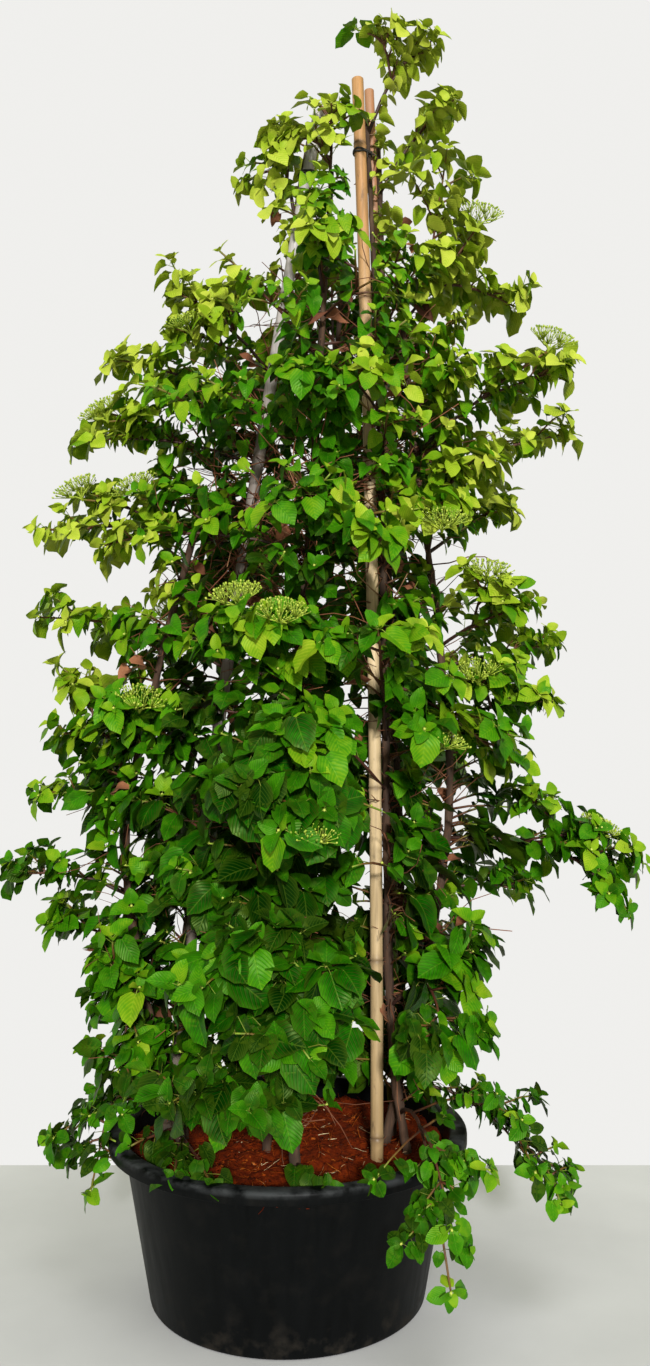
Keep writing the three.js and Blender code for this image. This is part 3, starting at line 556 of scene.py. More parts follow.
def grow_pairs(twig, usual, rng, start):
    """Opposite pairs of leaves along a twig, each pair turned from the one before."""
    end = PAIRS_END if not twig.head else LEAVES_BELOW_HEAD - 0.08
    pairs = max(1, round(twig.length * (end - start) / (PAIR_SPACING * usual / PAIR_LEAF)))
    leaves = []
    for pair in range(pairs):
        s = start + (end - start) * (pair + 0.5 + rng.uniform(-0.15, 0.15)) / pairs
        root = twig.point(s)
        along = twig.direction(s)
        turn = (0.75 if pair % 2 else -0.1) + rng.uniform(-0.3, 0.3)
        across = radial_at(along, -turn)
        outward = outward_at(root)
        for hand in (1, -1):
            length = usual * rng.uniform(0.6, 1.1) * (0.92 + INNER_LEAF_GROWTH * (1 - s))
            reach = unit(0.4 * along + 0.85 * hand * across + rng.uniform(0.1, 0.5) * UP + 0.25 * outward)
            heel = root + reach * length * rng.uniform(0.35, 0.75)
            pointing = 0.7 * vec(reach[0], reach[1], 0) + 0.5 * outward + rng.uniform(-0.45, 0.45, 3)
            low = root[2] < LOW_PART_TO
            pointing = unit(pointing - (rng.uniform(-0.3, 1.1) + (0.45 if low else 0)) * UP)
            facing = (0.7 if low else 0.9) * UP + (0.7 if low else 0.45) * outward + rng.uniform(-0.6, 0.6, 3)
            facing = unit(facing - np.dot(facing, pointing) * pointing)
            fold, bow = (rng.uniform(*limits) for limits in (LOW_FOLD_AND_BOW if low else HIGH_FOLD_AND_BOW))
            leaves.append(Leaf(root, heel, pointing, facing, length, fold, bow, s))
    return leaves


def grow_young_leaves(twig, usual, rng):
    """Small upright leaves that open round the bud at the end of a twig."""
    centre = twig.point(1.0)
    axis = unit(twig.direction(1.0) + 0.7 * UP)
    turn = rng.uniform(0, 2 * math.pi)
    leaves = []
    for index in range(YOUNG_LEAVES):
        angle = turn + 2 * math.pi * index / YOUNG_LEAVES + rng.uniform(-0.3, 0.3)
        radial = radial_at(axis, angle)
        lean = rng.uniform(0.7, 1.6)
        pointing = unit(axis + lean * radial)
        facing = unit(axis * lean - radial)
        length = usual * rng.uniform(0.4, 0.7)
        leaves.append(Leaf(centre, centre + 0.2 * length * pointing, pointing, facing, length,
                           rng.uniform(0.1, 0.5), rng.uniform(0.15, 0.45), 1.2))
    return leaves


def cane_gap(place):
    """How far a place is from the nearest cane."""
    middles = [(cane_point(cane, place[2]), cane["radius"]) for cane in CANES.values()]
    return min(math.hypot(place[0] - middle[0], place[1] - middle[1]) - radius for middle, radius in middles)


def clears_canes(twig):
    return min(cane_gap(twig.point(s)) for s in (0.3, 0.5, 0.7, 0.9)) >= TWIG_CANE_GAP


def hangs_before(cane, leaf):
    """Whether a blade hangs in front of a cane, as seen a little from the left."""
    middle, half = leaf.along(LEAF_MIDDLE), LEAF_MIDDLE * leaf.length * np.cross(leaf.pointing, leaf.facing)
    axis = cane_point(cane, middle[2])
    if middle[1] > axis[1]:
        return False
    sides = [place[0] - cane_point(cane, place[2])[0] + SEEN_FROM_LEFT * (axis[1] - place[1])
             for place in (leaf.heel, leaf.along(1), middle + half, middle - half)]
    reach = cane["radius"] + CANE_MARGIN
    return min(sides) < reach and max(sides) > -reach


def hides_left_cane(leaf):
    return leaf.along(LEAF_MIDDLE)[2] > LEFT_CANE_SEEN_FROM and hangs_before(CANES["cane_left"], leaf)


def skirt_at(x, y):
    """The lowest height for blades over the compost, which lies open to the front."""
    start = SKIRT_RIGHT[1] if x > SKIRT_RIGHT[0] else SKIRT_LEFT
    return SKIRT_HEIGHT + SKIRT_SLOPE * max(0, start - y)


def in_box(place):
    """Whether a place lies in the box round the part, with a little slack."""
    low, high = np.array(CAD_BOX) / MM
    return bool(np.all(place > low - BOX_SLACK) and np.all(place < high + BOX_SLACK))


def has_room(leaf, rng):
    """Whether a blade keeps off the canes and the compost and inside the part's box."""
    middle, tip = leaf.along(LEAF_MIDDLE), leaf.along(1)
    lowest = min(tip[2], leaf.heel[2])
    if math.hypot(middle[0], middle[1]) < POT_RIM_RADIUS and lowest < skirt_at(middle[0], middle[1]):
        return False
    if not (in_box(middle) and in_box(tip)):
        return False
    if hangs_before(CANES["cane_front"], leaf):
        if not any(low < middle[2] < high for low, high in LEAVES_OVER_CANE):
            return False
    if hides_left_cane(leaf) and rng.uniform(0, 1) > SHARE_OVER_LEFT_CANE:
        return False
    if (TANGLE_ACROSS[0] < middle[0] < TANGLE_ACROSS[1] and middle[1] < TANGLE_FRONT
            and TANGLE_HEIGHTS[0] < middle[2] < TANGLE_HEIGHTS[1] and rng.uniform(0, 1) > SHARE_OVER_TANGLE):
        return False
    return cane_gap(middle) > LEAF_CANE_GAP[0] * leaf.length + LEAF_CANE_GAP[1]


def with_room(leaves, rng):
    return [leaf for leaf in leaves if has_room(leaf, rng)]


def column_room(place, heading):
    """How far a level line from a place goes before it leaves the plant's column."""
    reach = at_height(COLUMN, place[2], 2)
    x = (place[0] - at_height(COLUMN, place[2])) / reach
    y = place[1] / (COLUMN_DEPTH_SHARE * reach)
    dx, dy = heading[0] / reach, heading[1] / (COLUMN_DEPTH_SHARE * reach)
    a, b, c = dx**2 + dy**2, x * dx + y * dy, x**2 + y**2 - 1
    if c >= 0:
        return 0.0
    return (-b + math.sqrt(b * b - a * c)) / a


def grow_laterals(line, rng):
    """Side shoots of a stem that end at the outside of the plant's column, the long ones forked."""
    laterals = []
    height = float(LATERALS_FROM)
    while height < line[-1][2] - 10:
        base = line_at(line, height)
        spacing = LATERAL_SPACING[0 if height < LOW_PART_TO else 1 if height < NARROW_FROM else 2]
        height += spacing * rng.uniform(0.7, 1.3)
        outward = outward_at(base)
        bearing = math.atan2(outward[1], outward[0]) + rng.normal(0, 1.0 if height < NARROW_FROM else 1.8)
        heading = heading_at(bearing, rng.uniform(0.05, 0.7))
        shortest = LATERAL_SHORTEST[0] if height < NARROW_FROM else LATERAL_SHORTEST[1]
        room = column_room(base, heading)
        crowded = room == 0 and base[0] > RIGHT_OF and RIGHT_THIN[0] < height < RIGHT_THIN[1]
        if crowded and rng.uniform(0, 1) < RIGHT_THINNED:
            continue
        length = min(max(room * rng.uniform(0.75, 1.0), shortest), LATERAL_LONGEST)
        twig = shoot_from(base, heading, length, 0.1, "fork" if length > FORKED_FROM else "shoot")
        if not clears_canes(twig) or not in_box(twig.tip):
            continue
        laterals.append(twig)
        for hand in (-1, 1) if length > FORKED_FROM else ():
            s = rng.uniform(0.45, 0.75)
            start, along = twig.point(s), twig.direction(s)
            side = unit(0.8 * along + 0.8 * hand * level_across(along) + rng.uniform(-0.3, 0.5) * UP)
            reach = min(rng.uniform(*SIDE_SHOOT_LENGTHS), column_room(start, side) + SIDE_SHOOT_PAST)
            if in_box(start + reach * side):
                laterals.append(shoot_from(start, side, reach))
    return laterals


def grow_inner_shoots(node, line, rng):
    """Short shoots inside the plant."""
    shoots = []
    for stem, low, high, count, bearing, spread in INNER_SHOOTS:
        for _ in range(count if stem == node else 0):
            base = line_at(line, rng.uniform(low, high))
            angle = math.radians(bearing + spread * rng.uniform(-1, 1))
            length = rng.uniform(*INNER_SHOOT_LENGTHS)
            heading = heading_at(angle, rng.uniform(-0.2, 0.5))
            twig = shoot_from(base, heading, length, 0.1)
            if clears_canes(twig):
                shoots.append(twig)
    return shoots


def grow_creepers(node, line, rng):
    """Low shoots over the compost, with the leaves that keep above it."""
    grown = []
    for stem, height, tip in CREEPERS:
        if stem == node:
            twig = Twig("fork", line_at(line, height), vec(*tip), 8)
            leaves = grow_pairs(twig, CREEPER_LEAF, rng, SHOOT_PAIRS_START)
            leaves += grow_young_leaves(twig, CREEPER_LEAF, rng)
            grown.append((twig, [leaf for leaf in leaves
                                 if min(leaf.heel[2], leaf.along(1)[2]) > CREEPER_CLEARANCE]))
    return grown


def bend_aside(leaf):
    """Moves a tip leaf that would hide the upper left cane to its nearer side."""
    if hides_left_cane(leaf):
        middle = leaf.along(LEAF_MIDDLE)
        side = 1 if middle[0] > cane_point(CANES["cane_left"], middle[2])[0] else -1
        leaf.heel = leaf.heel + vec(side * 0.55 * leaf.length, 0, 0)
    return leaf


def grow_fine_shoots(twig, usual, rng):
    """Short leafy shoots along the outer part of a long twig, which the part leaves to its shoots' tips."""
    shoots = []
    for index in range(FINE_SHOOTS[twig.length > MORE_SHOOTS_FROM]):
        s = rng.uniform(0.4, 0.7 if twig.head else 0.95)
        base, along = twig.point(s), twig.direction(s)
        hand = 1 if index % 2 else -1
        heading = unit(0.6 * along + 0.7 * hand * level_across(along) + rng.uniform(-0.1, 0.8) * UP)
        length = rng.uniform(*FINE_SHOOT_LENGTHS) * usual / FINE_SHOOT_LEAF
        if in_box(base + length * heading):
            shoots.append(shoot_from(base, heading, length))
    return shoots


def grow_spray(row, order):
    """The twigs and shoots of a spray with their tip leaves, as in the part."""
    stem, height, usual, *tips = row
    base = line_at(STEM_LINES[stem], height)
    twigs = []
    for index, (x, y, z, lift, *head) in enumerate(tips):
        tip = vec(x, y, z)
        start = twigs[0].point(FORK_START + FORK_STEP * index) if index else base
        tip += (start - tip) * TIP_REACH / np.linalg.norm(start - tip)
        twigs.append(Twig("fork" if index else "main", start, tip, lift, head[0] if head else 0))
    seed = 1000 * (order + 1)
    draw = make_random(seed)
    shoots = [shoot for twig in twigs for shoot in grow_shoots(twig, draw)]
    every = twigs + shoots
    for index, twig in enumerate(every):
        twig.tip_leaves = grow_tip_leaves(twig, usual, make_random(seed + index + 1))
    return every


# Meshes: a piece is collected part by part and then made at once.


def show(name, data):
    """A new object in the scene."""
    made = bpy.data.objects.new(name, data)
    bpy.context.scene.collection.objects.link(made)
    return made


class Growth:
    """The vertices and faces of one piece. Each vertex is marked with a tone, a chance and its underside."""

    def __init__(self):
        self.points, self.marks, self.uvs, self.rims, self.faces, self.slots = [], [], [], [], [], []
        self.count = 0

    def add(self, points, faces, slot, tone, chance=0.5, under=0.0, uv=None, rim=None):
        """points is (n, 3), faces a list of arrays (m, 3) or (m, 4), and the rest numbers or arrays of n."""
        n = len(points)
        marks = np.empty((n, 4), np.float32)
        for column, value in enumerate((tone, chance, under, 1)):
            marks[:, column] = value
        self.points.append(points)
        self.marks.append(marks)
        self.uvs.append(np.zeros((n, 2)) if uv is None else uv)
        self.rims.append(np.zeros(n, bool) if rim is None else rim)
        for group in faces:
            self.faces.append(group + self.count)
            self.slots.append(np.full(len(group), slot, np.int32))
        self.count += n

    def make(self, name, materials):
        points, marks, uvs, rims = map(np.concatenate, (self.points, self.marks, self.uvs, self.rims))
        sizes = np.concatenate([np.full(len(group), group.shape[1]) for group in self.faces])
        corners = np.concatenate([group.ravel() for group in self.faces])
        starts = np.concatenate([[0], np.cumsum(sizes)[:-1]])
        mesh = bpy.data.meshes.new(name)
        for things, count, key, data, kind in (
                (mesh.vertices, len(points), "co", points * MM, np.float32),
                (mesh.loops, len(corners), "vertex_index", corners, np.int32),
                (mesh.polygons, len(sizes), "loop_start", starts, np.int32)):
            things.add(count)
            things.foreach_set(key, data.astype(kind).ravel())
        mesh.polygons.foreach_set("material_index", np.concatenate(self.slots))
        mesh.update(calc_edges=True)
        mesh.polygons.foreach_set("use_smooth", np.ones(len(sizes), bool))
        mesh.color_attributes.new("marks", "FLOAT_COLOR", "POINT").data.foreach_set("color", marks.ravel())
        mesh.uv_layers.new(name="blade").data.foreach_set("uv", uvs[corners].astype(np.float32).ravel())
        ends = np.empty(2 * len(mesh.edges), np.int32)
        mesh.edges.foreach_get("vertices", ends)
        ends = ends.reshape(-1, 2)
        mesh.edges.foreach_set("use_edge_sharp", rims[ends[:, 0]] & rims[ends[:, 1]])
        for material in materials:
            mesh.materials.append(material)
        return show(name, mesh)


def copies(faces, size, count):
    """The faces of count copies of a form that has size points."""
    shifts = (np.arange(count) * size)[:, None, None]
    return (faces[None] + shifts).reshape(-1, faces.shape[1])


def across_from(axes):
    """A direction square to each axis."""
    return np.cross(np.where(np.abs(axes[:, 2:3]) < 0.9, UP, vec(1, 0, 0)), axes)


def tube_faces(rings, sides, count):
    """Quads along count tubes of the same form, and their end caps as fans."""
    ring, side = np.meshgrid(np.arange(rings - 1), np.arange(sides), indexing="ij")
    a = (ring * sides + side).ravel()
    b = (ring * sides + (side + 1) % sides).ravel()
    wall = np.stack([a, b, b + sides, a + sides], axis=1)
    fan = np.arange(1, sides - 1)
    low = np.stack([np.zeros_like(fan), fan + 1, fan], axis=1)
    last = (rings - 1) * sides
    high = np.stack([np.full_like(fan, last), last + fan, last + fan + 1], axis=1)
    return [copies(wall, rings * sides, count), copies(np.concatenate([low, high]), rings * sides, count)]


def tube_points(lines, radii, sides, dent=None):
    """Rings of points round lines (k, m, 3) with radii (k, m)."""
    lines = np.asarray(lines, float)
    radii = np.broadcast_to(radii, lines.shape[:2])
    along = np.empty_like(lines)
    along[:, 1:-1] = lines[:, 2:] - lines[:, :-2]
    along[:, 0] = lines[:, 1] - lines[:, 0]
    along[:, -1] = lines[:, -1] - lines[:, -2]
    along = units(along)
    across = across_from(units(lines[:, -1] - lines[:, 0]))[:, None]
    across = units(across - np.sum(across * along, axis=-1, keepdims=True) * along)
    other = np.cross(along, across)
    angles = 2 * math.pi * np.arange(sides) / sides
    spread = radii[:, :, None, None]
    if dent is not None:
        spread = spread * dent[..., None]
    ring = np.cos(angles)[:, None] * across[:, :, None] + np.sin(angles)[:, None] * other[:, :, None]
    return (lines[:, :, None] + spread * ring).reshape(-1, 3)


def add_tubes(growth, lines, radii, sides, slot, tone, chance=0.5):
    """tone and chance are numbers, or arrays of (k,) or (k, m)."""
    count, rings = len(lines), len(lines[0])

    def spread_out(value):
        value = np.asarray(value, float)
        if value.ndim == 1:
            value = value[:, None]
        return np.repeat(np.broadcast_to(value, (count, rings)).ravel(), sides)

    points = tube_points(lines, radii, sides)
    growth.add(points, tube_faces(rings, sides, count), slot, spread_out(tone), spread_out(chance))


def outline_at(shares):
    """Points of the leaf's half outline at shares of its length along the edge."""
    corners = np.array(LEAF_OUTLINE)
    steps = np.linalg.norm(np.diff(corners, axis=0), axis=1)
    run = np.concatenate([[0], np.cumsum(steps)]) / np.sum(steps)
    return np.stack([np.interp(shares, run, corners[:, 0]), np.interp(shares, run, corners[:, 1])], axis=1)


def leaf_template(rows, puffed, tooth):
    """A leaf as flat points (across, along), with how far each bulges up, which lie on its edge and which
    beneath, and its faces. A puffed leaf has a raised row of points between rib and edge."""
    shares = np.arange(rows + 1) / rows
    edge = outline_at(shares)
    outward = units(np.stack([np.gradient(edge[:, 1]), -np.gradient(edge[:, 0])], axis=1))
    jags = np.where(np.arange(rows + 1) % 2, tooth, -tooth)[:, None]
    edge[1:-1] += (jags * outward)[1:-1]
    rib = np.stack([np.zeros(rows + 1), edge[-1, 1] * shares**1.1], axis=1)
    flat, bulge, rim, under = [], [], [], []

    def put(place, rise, on_rim, beneath):
        flat.append(place)
        bulge.append(rise)
        rim.append(on_rim)
        under.append(beneath)
        return len(flat) - 1

    ribs = [put(place, 0, index in (0, rows), 0) for index, place in enumerate(rib)]
    backs = [ribs[0]] + [put(rib[row], -1, False, 1) for row in range(1, rows)] + [ribs[-1]]
    triangles, quads = [], []
    for hand in (1, -1):
        side = np.array([hand, 1])
        edges = [ribs[0]] + [put(edge[row] * side, 0, True, 0.5) for row in range(1, rows)] + [ribs[-1]]
        strips = [(ribs, edges, False), (backs, edges, True)]
        if puffed:
            middles = [ribs[0]]
            for row in range(1, rows):
                middles.append(put((0.45 * rib[row] + 0.55 * edge[row]) * side, 1, False, 0))
            middles.append(ribs[-1])
            strips = [(ribs, middles, False), (middles, edges, False), (backs, edges, True)]
        for inner, outer, turned in strips:
            for row in range(rows):
                loop = list(dict.fromkeys([inner[row], outer[row], outer[row + 1], inner[row + 1]]))
                if len(loop) < 3:
                    continue
                if turned != (hand < 0):
                    loop.reverse()
                (quads if len(loop) == 4 else triangles).append(loop)
    flat = np.array(flat)
    return dict(flat=flat, bulge=np.array(bulge, float), rim=np.array(rim), under=np.array(under, float),
                triangles=np.array(triangles), quads=np.array(quads),
                uv=np.stack([flat[:, 0] + 0.5, flat[:, 1]], axis=1))


LARGE_FORM = leaf_template(9, True, 0.016)
MIDDLE_FORM = leaf_template(7, False, 0.018)
SMALL_FORM = leaf_template(6, False, 0.014)


def values(leaves, name):
    return np.array([getattr(leaf, name) for leaf in leaves], float)


def add_leaves(growth, form, leaves, slot, tones, rng, ruffle=0.06):
    """Leaves of one form at their places. Each gets its own folds and waves."""
    count, size = len(leaves), len(form["flat"])
    across, along, bulge = form["flat"][None, :, 0], form["flat"][None, :, 1], form["bulge"]
    length, fold, bow = (values(leaves, name)[:, None] for name in ("length", "fold", "bow"))
    phase = rng.uniform(0, 2 * math.pi, (count, 1))
    waves = rng.uniform(0.4, 1.6, (count, 1)) * ruffle
    lean = rng.uniform(-0.12, 0.12, (count, 1))
    twist = rng.uniform(-0.2, 0.2, (count, 1))
    widen = rng.uniform(0.8, 1.02, (count, 1))
    x = across * widen + lean * along * (1 - along)
    z = fold * np.abs(across) - bow * along**2 + LEAF_PUFF * bulge * (bulge > 0)
    z += LEAF_THICKNESS * bulge * (bulge < 0)
    z += waves * np.sin(7 * along + phase + 1.6 * np.sign(across)) * np.abs(across) * 2
    z += twist * across * along
    heel, pointing, facing = (values(leaves, name) for name in ("heel", "pointing", "facing"))
    width = np.cross(pointing, facing)
    points = (heel[:, None] + (x * length)[..., None] * width[:, None]
              + (along * length)[..., None] * pointing[:, None] + (z * length)[..., None] * facing[:, None])
    faces = [copies(form[kind], size, count) for kind in ("quads", "triangles")]
    growth.add(points.reshape(-1, 3), faces, slot, np.repeat(tones, size),
               np.repeat(rng.uniform(0, 1, count), size), np.tile(form["under"], count),
               np.tile(form["uv"], (count, 1)), np.tile(form["rim"], count))


def add_stalks(growth, leaves, slot, tones, steps=3):
    """A thin curved stalk from the twig to the start of each blade."""
    root, heel, pointing = (values(leaves, name)[:, None] for name in ("root", "heel", "pointing"))
    length = values(leaves, "length")[:, None]
    bend = heel - 0.14 * length[:, None] * pointing + 0.08 * length[:, None] * UP
    into = heel + 0.04 * length[:, None] * pointing
    lines = bowed(root, bend, into, np.linspace(0, 1, steps)[None, :, None])
    radii = np.linspace(1.3, 0.8, steps)[None] * (length / 70) ** 0.5
    add_tubes(growth, lines, radii, 3, slot, tones)


def tone_of(leaf, rng):
    """How light a leaf is, from 0, old dark green, to 1, fresh lime: partly its age and partly painted light
    and shade.
    """
    x, y, z = leaf.heel
    # The tone for a height is partly age and partly painted light and shade: darker low down, lighter high
    # up.
    tone = at_height(LEAF_TONES, z)
    aside = abs(x - at_height(COLUMN, z)) / at_height(COLUMN, z, 2)
    aside = min(aside, ASIDE_MOST) - ASIDE_MIDDLE
    # Painted light: leaves far to the side of the column are lighter and those near its middle darker. Leaves
    # further out on their twig are lighter, partly for age and partly as painted shade inside.
    tone += SHARE_TONE * (leaf.share - SHARE_MIDDLE) + at_height(ASIDE_PAINTED_LIGHT, z) * aside
    tone += PATCH_TONE * noise.noise(Vector(leaf.root / PATCH_SIZE))
    return min(max(tone + rng.normal(0, TONE_SPREAD), 0.02), 1)


def add_all_leaves(growth, leaves, rng):
    """Blades and stalks of leaves of all sizes."""
    tones = np.array([tone_of(leaf, rng) for leaf in leaves])
    lengths = values(leaves, "length")
    large, small = lengths > LARGE_LEAF, lengths < SMALL_LEAF
    middling = ~(large | small)
    for form, chosen, steps in ((LARGE_FORM, large, 3), (MIDDLE_FORM, middling, 2), (SMALL_FORM, small, 2)):
        if chosen.any():
            alike = [leaf for leaf, use in zip(leaves, chosen) if use]
            add_leaves(growth, form, alike, LEAF, tones[chosen], rng)
            # Stalks follow their leaves' tones, painted light and shade included.
            add_stalks(growth, alike, WOOD, np.clip(0.7 + 0.3 * tones[chosen], 0, 1), steps)


LEAF, WOOD, FLOWER, BARK, DEAD = range(5)


def ring_at(radius, height, sides):
    angles = 2 * math.pi * np.arange(sides) / sides
    return np.stack([radius * np.cos(angles), radius * np.sin(angles), np.full(sides, height)], axis=1)


def bead_template():
    """A small pointed bud, about 1 in radius and 2.4 long."""
    sides = 5
    ends = np.array([[0, 0, 2.1], [0, 0, -0.4]])
    points = np.concatenate([ring_at(0.75, 0.1, sides), ring_at(0.95, 1.2, sides), ends])
    top, bottom = len(points) - 2, len(points) - 1
    quads, triangles = [], []
    for side in range(sides):
        after = (side + 1) % sides
        quads.append([side, after, after + sides, side + sides])
        triangles.append([sides + side, sides + after, top])
        triangles.append([after, side, bottom])
    return points, np.array(quads), np.array(triangles)


BEAD = bead_template()


def add_beads(growth, places, axes, radii, slot, tones, chances):
    """Buds of one form at places, each with its own axis and radius."""
    points, quads, triangles = BEAD
    count, size = len(places), len(points)
    axes = units(np.asarray(axes, float))
    across = units(across_from(axes))
    other = np.cross(axes, across)
    spread = (points[None, :, 0:1] * across[:, None] + points[None, :, 1:2] * other[:, None]
              + points[None, :, 2:3] * axes[:, None])
    made = np.asarray(places)[:, None] + np.asarray(radii)[:, None, None] * spread
    faces = [copies(quads, size, count), copies(triangles, size, count)]
    growth.add(made.reshape(-1, 3), faces, slot, np.repeat(tones, size), np.repeat(chances, size))


def add_head(growth, twig, rng):
    """A flower head in bud: branches that fan out from the twig's end, each with buds on fine stalks."""
    axis = unit(0.45 * twig.direction(1.0) + 0.9 * UP)
    level = level_across(axis)
    other = np.cross(axis, level)
    hubs = []
    for index in range(BRANCHES_PER_HEAD):
        angle = 2 * math.pi * index / BRANCHES_PER_HEAD + rng.uniform(-0.2, 0.2)
        radius = 0.0 if index == 0 else 0.48 * HEAD_RADIUS * rng.uniform(0.8, 1.15)
        hubs.append(twig.tip + radial_at(axis, angle) * radius + axis * rng.uniform(13, 19))
    hubs = np.array(hubs)
    shares = np.linspace(0, 1, 4)[None, :, None]
    lines = bowed(twig.tip - 3 * axis, twig.tip + axis * 8, hubs[:, None], shares)
    add_tubes(growth, lines, np.linspace(1.7, 1.0, 4)[None], 5, FLOWER, 0.55)
    order = np.arange(BUDS_PER_HEAD)
    radius = HEAD_RADIUS * np.sqrt((order + 0.5) / BUDS_PER_HEAD) * rng.uniform(0.93, 1.05, BUDS_PER_HEAD)
    angle = order * GOLDEN_ANGLE + rng.uniform(-0.15, 0.15, BUDS_PER_HEAD)
    rise = 26 + 13 * (1 - (radius / HEAD_RADIUS) ** 2) + rng.uniform(-2.5, 2.5, BUDS_PER_HEAD)
    radial = np.cos(angle)[:, None] * level + np.sin(angle)[:, None] * other
    places = twig.tip + radial * radius[:, None] + axis * rise[:, None]
    nearest = np.argmin(np.linalg.norm(places[:, None] - hubs[None], axis=2), axis=1)
    stalks = np.stack([hubs[nearest], places], axis=1)
    add_tubes(growth, stalks, np.array([[0.8, 0.6]]), 3, FLOWER, 0.5)
    axes = axis + 0.7 * radial * (radius / HEAD_RADIUS)[:, None]
    add_beads(growth, places, axes, rng.uniform(1.3, 2.3, BUDS_PER_HEAD), FLOWER,
              varied_tones(rng, 0.5, 0.16, BUDS_PER_HEAD), rng.uniform(0, 1, BUDS_PER_HEAD))


def add_twig(growth, twig, rng):
    steps, sides, age = {"main": (9, 8, 0.0), "fork": (6, 6, 0.15), "shoot": (4, 4, 0.35)}[twig.kind]
    shares = np.linspace(0, 1, steps)
    line = np.array([twig.point(s) for s in shares])
    wobble = rng.uniform(-1.5, 1.5, (steps, 3))
    wobble[[0, -1]] = 0
    thick, thin = TWIG_RADII[twig.kind]
    add_tubes(growth, (line + wobble)[None], (thick + (thin - thick) * shares)[None], sides, WOOD,
              np.clip(age + 0.55 * shares**2, 0, 1)[None], rng.uniform(0, 1))


def build_spray(name, row, order, materials):
    """One leafy spray: its twigs, leaves on their stalks, buds and flower heads."""
    rng = np.random.default_rng(order + 1)
    growth = Growth()
    usual = row[2]
    leaves, tips = [], []
    twigs = grow_spray(row, order)
    for twig in twigs:
        for shoot in grow_fine_shoots(twig, usual, rng) if twig.kind != "shoot" else ():
            grown = with_room(grow_pairs(shoot, fine_leaf_length(shoot, usual), rng, SHOOT_PAIRS_START), rng)
            grown += with_room(grow_young_leaves(shoot, usual, rng), rng)
            if len(grown) > 1:
                leaves += grown
                add_twig(growth, shoot, rng)
    for twig in twigs:
        if twig.kind == "shoot" and not in_box(twig.tip):
            continue
        add_twig(growth, twig, rng)
        start = SHOOT_PAIRS_START if twig.kind == "shoot" else PAIRS_START
        leaves += with_room(grow_pairs(twig, fine_leaf_length(twig, usual), rng, start), rng)
        leaves += [bend_aside(leaf) for leaf in twig.tip_leaves if in_box(leaf.along(1))]
        if twig.head:
            add_head(growth, twig, rng)
        else:
            leaves += [leaf for leaf in grow_young_leaves(twig, usual, rng) if in_box(leaf.heel)]
            tips.append(twig)
    add_all_leaves(growth, leaves, rng)
    add_end_buds(growth, tips, rng)
    return growth.make(name, materials)


def add_end_buds(growth, twigs, rng):
    if twigs:
        count = len(twigs)
        axes = [twig.direction(1.0) + 0.4 * UP for twig in twigs]
        add_beads(growth, [twig.tip for twig in twigs], axes, rng.uniform(2.0, 3.0, count), FLOWER,
                  np.full(count, 0.8), rng.uniform(0, 1, count))


# Stems with what clings to them: rootlets, dead side twigs and withered leaves.


def varied_tones(rng, middle, spread, count):
    return np.clip(rng.normal(middle, spread, count), 0, 1)


def noisy_line(start, heading, length, steps, rng, wander):
    """A wandering line that leaves start in the given heading."""
    line = [start]
    heading = unit(heading)
    for _ in range(steps - 1):
        heading = unit(heading + rng.uniform(-wander, wander, 3))
        line.append(line[-1] + heading * length / (steps - 1))
    return np.array(line)


def add_clinging_lines(growth, line, rng, count, heights, length, radius, steps, wander, tone):
    """Rootlets or dead side twigs that wander from places on a stem."""
    lines, sizes = [], []
    for _ in range(count):
        start = line_at(line, rng.uniform(*heights))
        heading = heading_at(rng.uniform(0, 2 * math.pi), rng.uniform(-0.5, 1.1))
        lines.append(noisy_line(start, heading, rng.uniform(*length), steps, rng, wander))
        sizes.append(rng.uniform(*radius))
    radii = np.array(sizes)[:, None] * np.linspace(1, 0.5, steps)[None]
    tones = varied_tones(rng, tone, 0.15, count)
    add_tubes(growth, np.array(lines), radii, 3, DEAD, tones, rng.uniform(0, 1, count))


def grow_withered(line, count, rng):
    """Withered leaves that hang round a stem."""
    withered = []
    for _ in range(count):
        centre = line_at(line, rng.uniform(500, line[-1][2] - 60))
        angle = rng.uniform(0, 2 * math.pi)
        heel = centre + rng.uniform(15, 80) * heading_at(angle, rng.uniform(-0.4, 0.4))
        pointing = unit(heading_at(angle, -1.2) + rng.uniform(-0.4, 0.4, 3))
        facing = rng.uniform(-1, 1, 3)
        facing = unit(facing - np.dot(facing, pointing) * pointing)
        withered.append(Leaf(centre, heel, pointing, facing, rng.uniform(18, 38), rng.uniform(0.6, 1.6),
                             rng.uniform(0.3, 0.9), 0))
    return withered


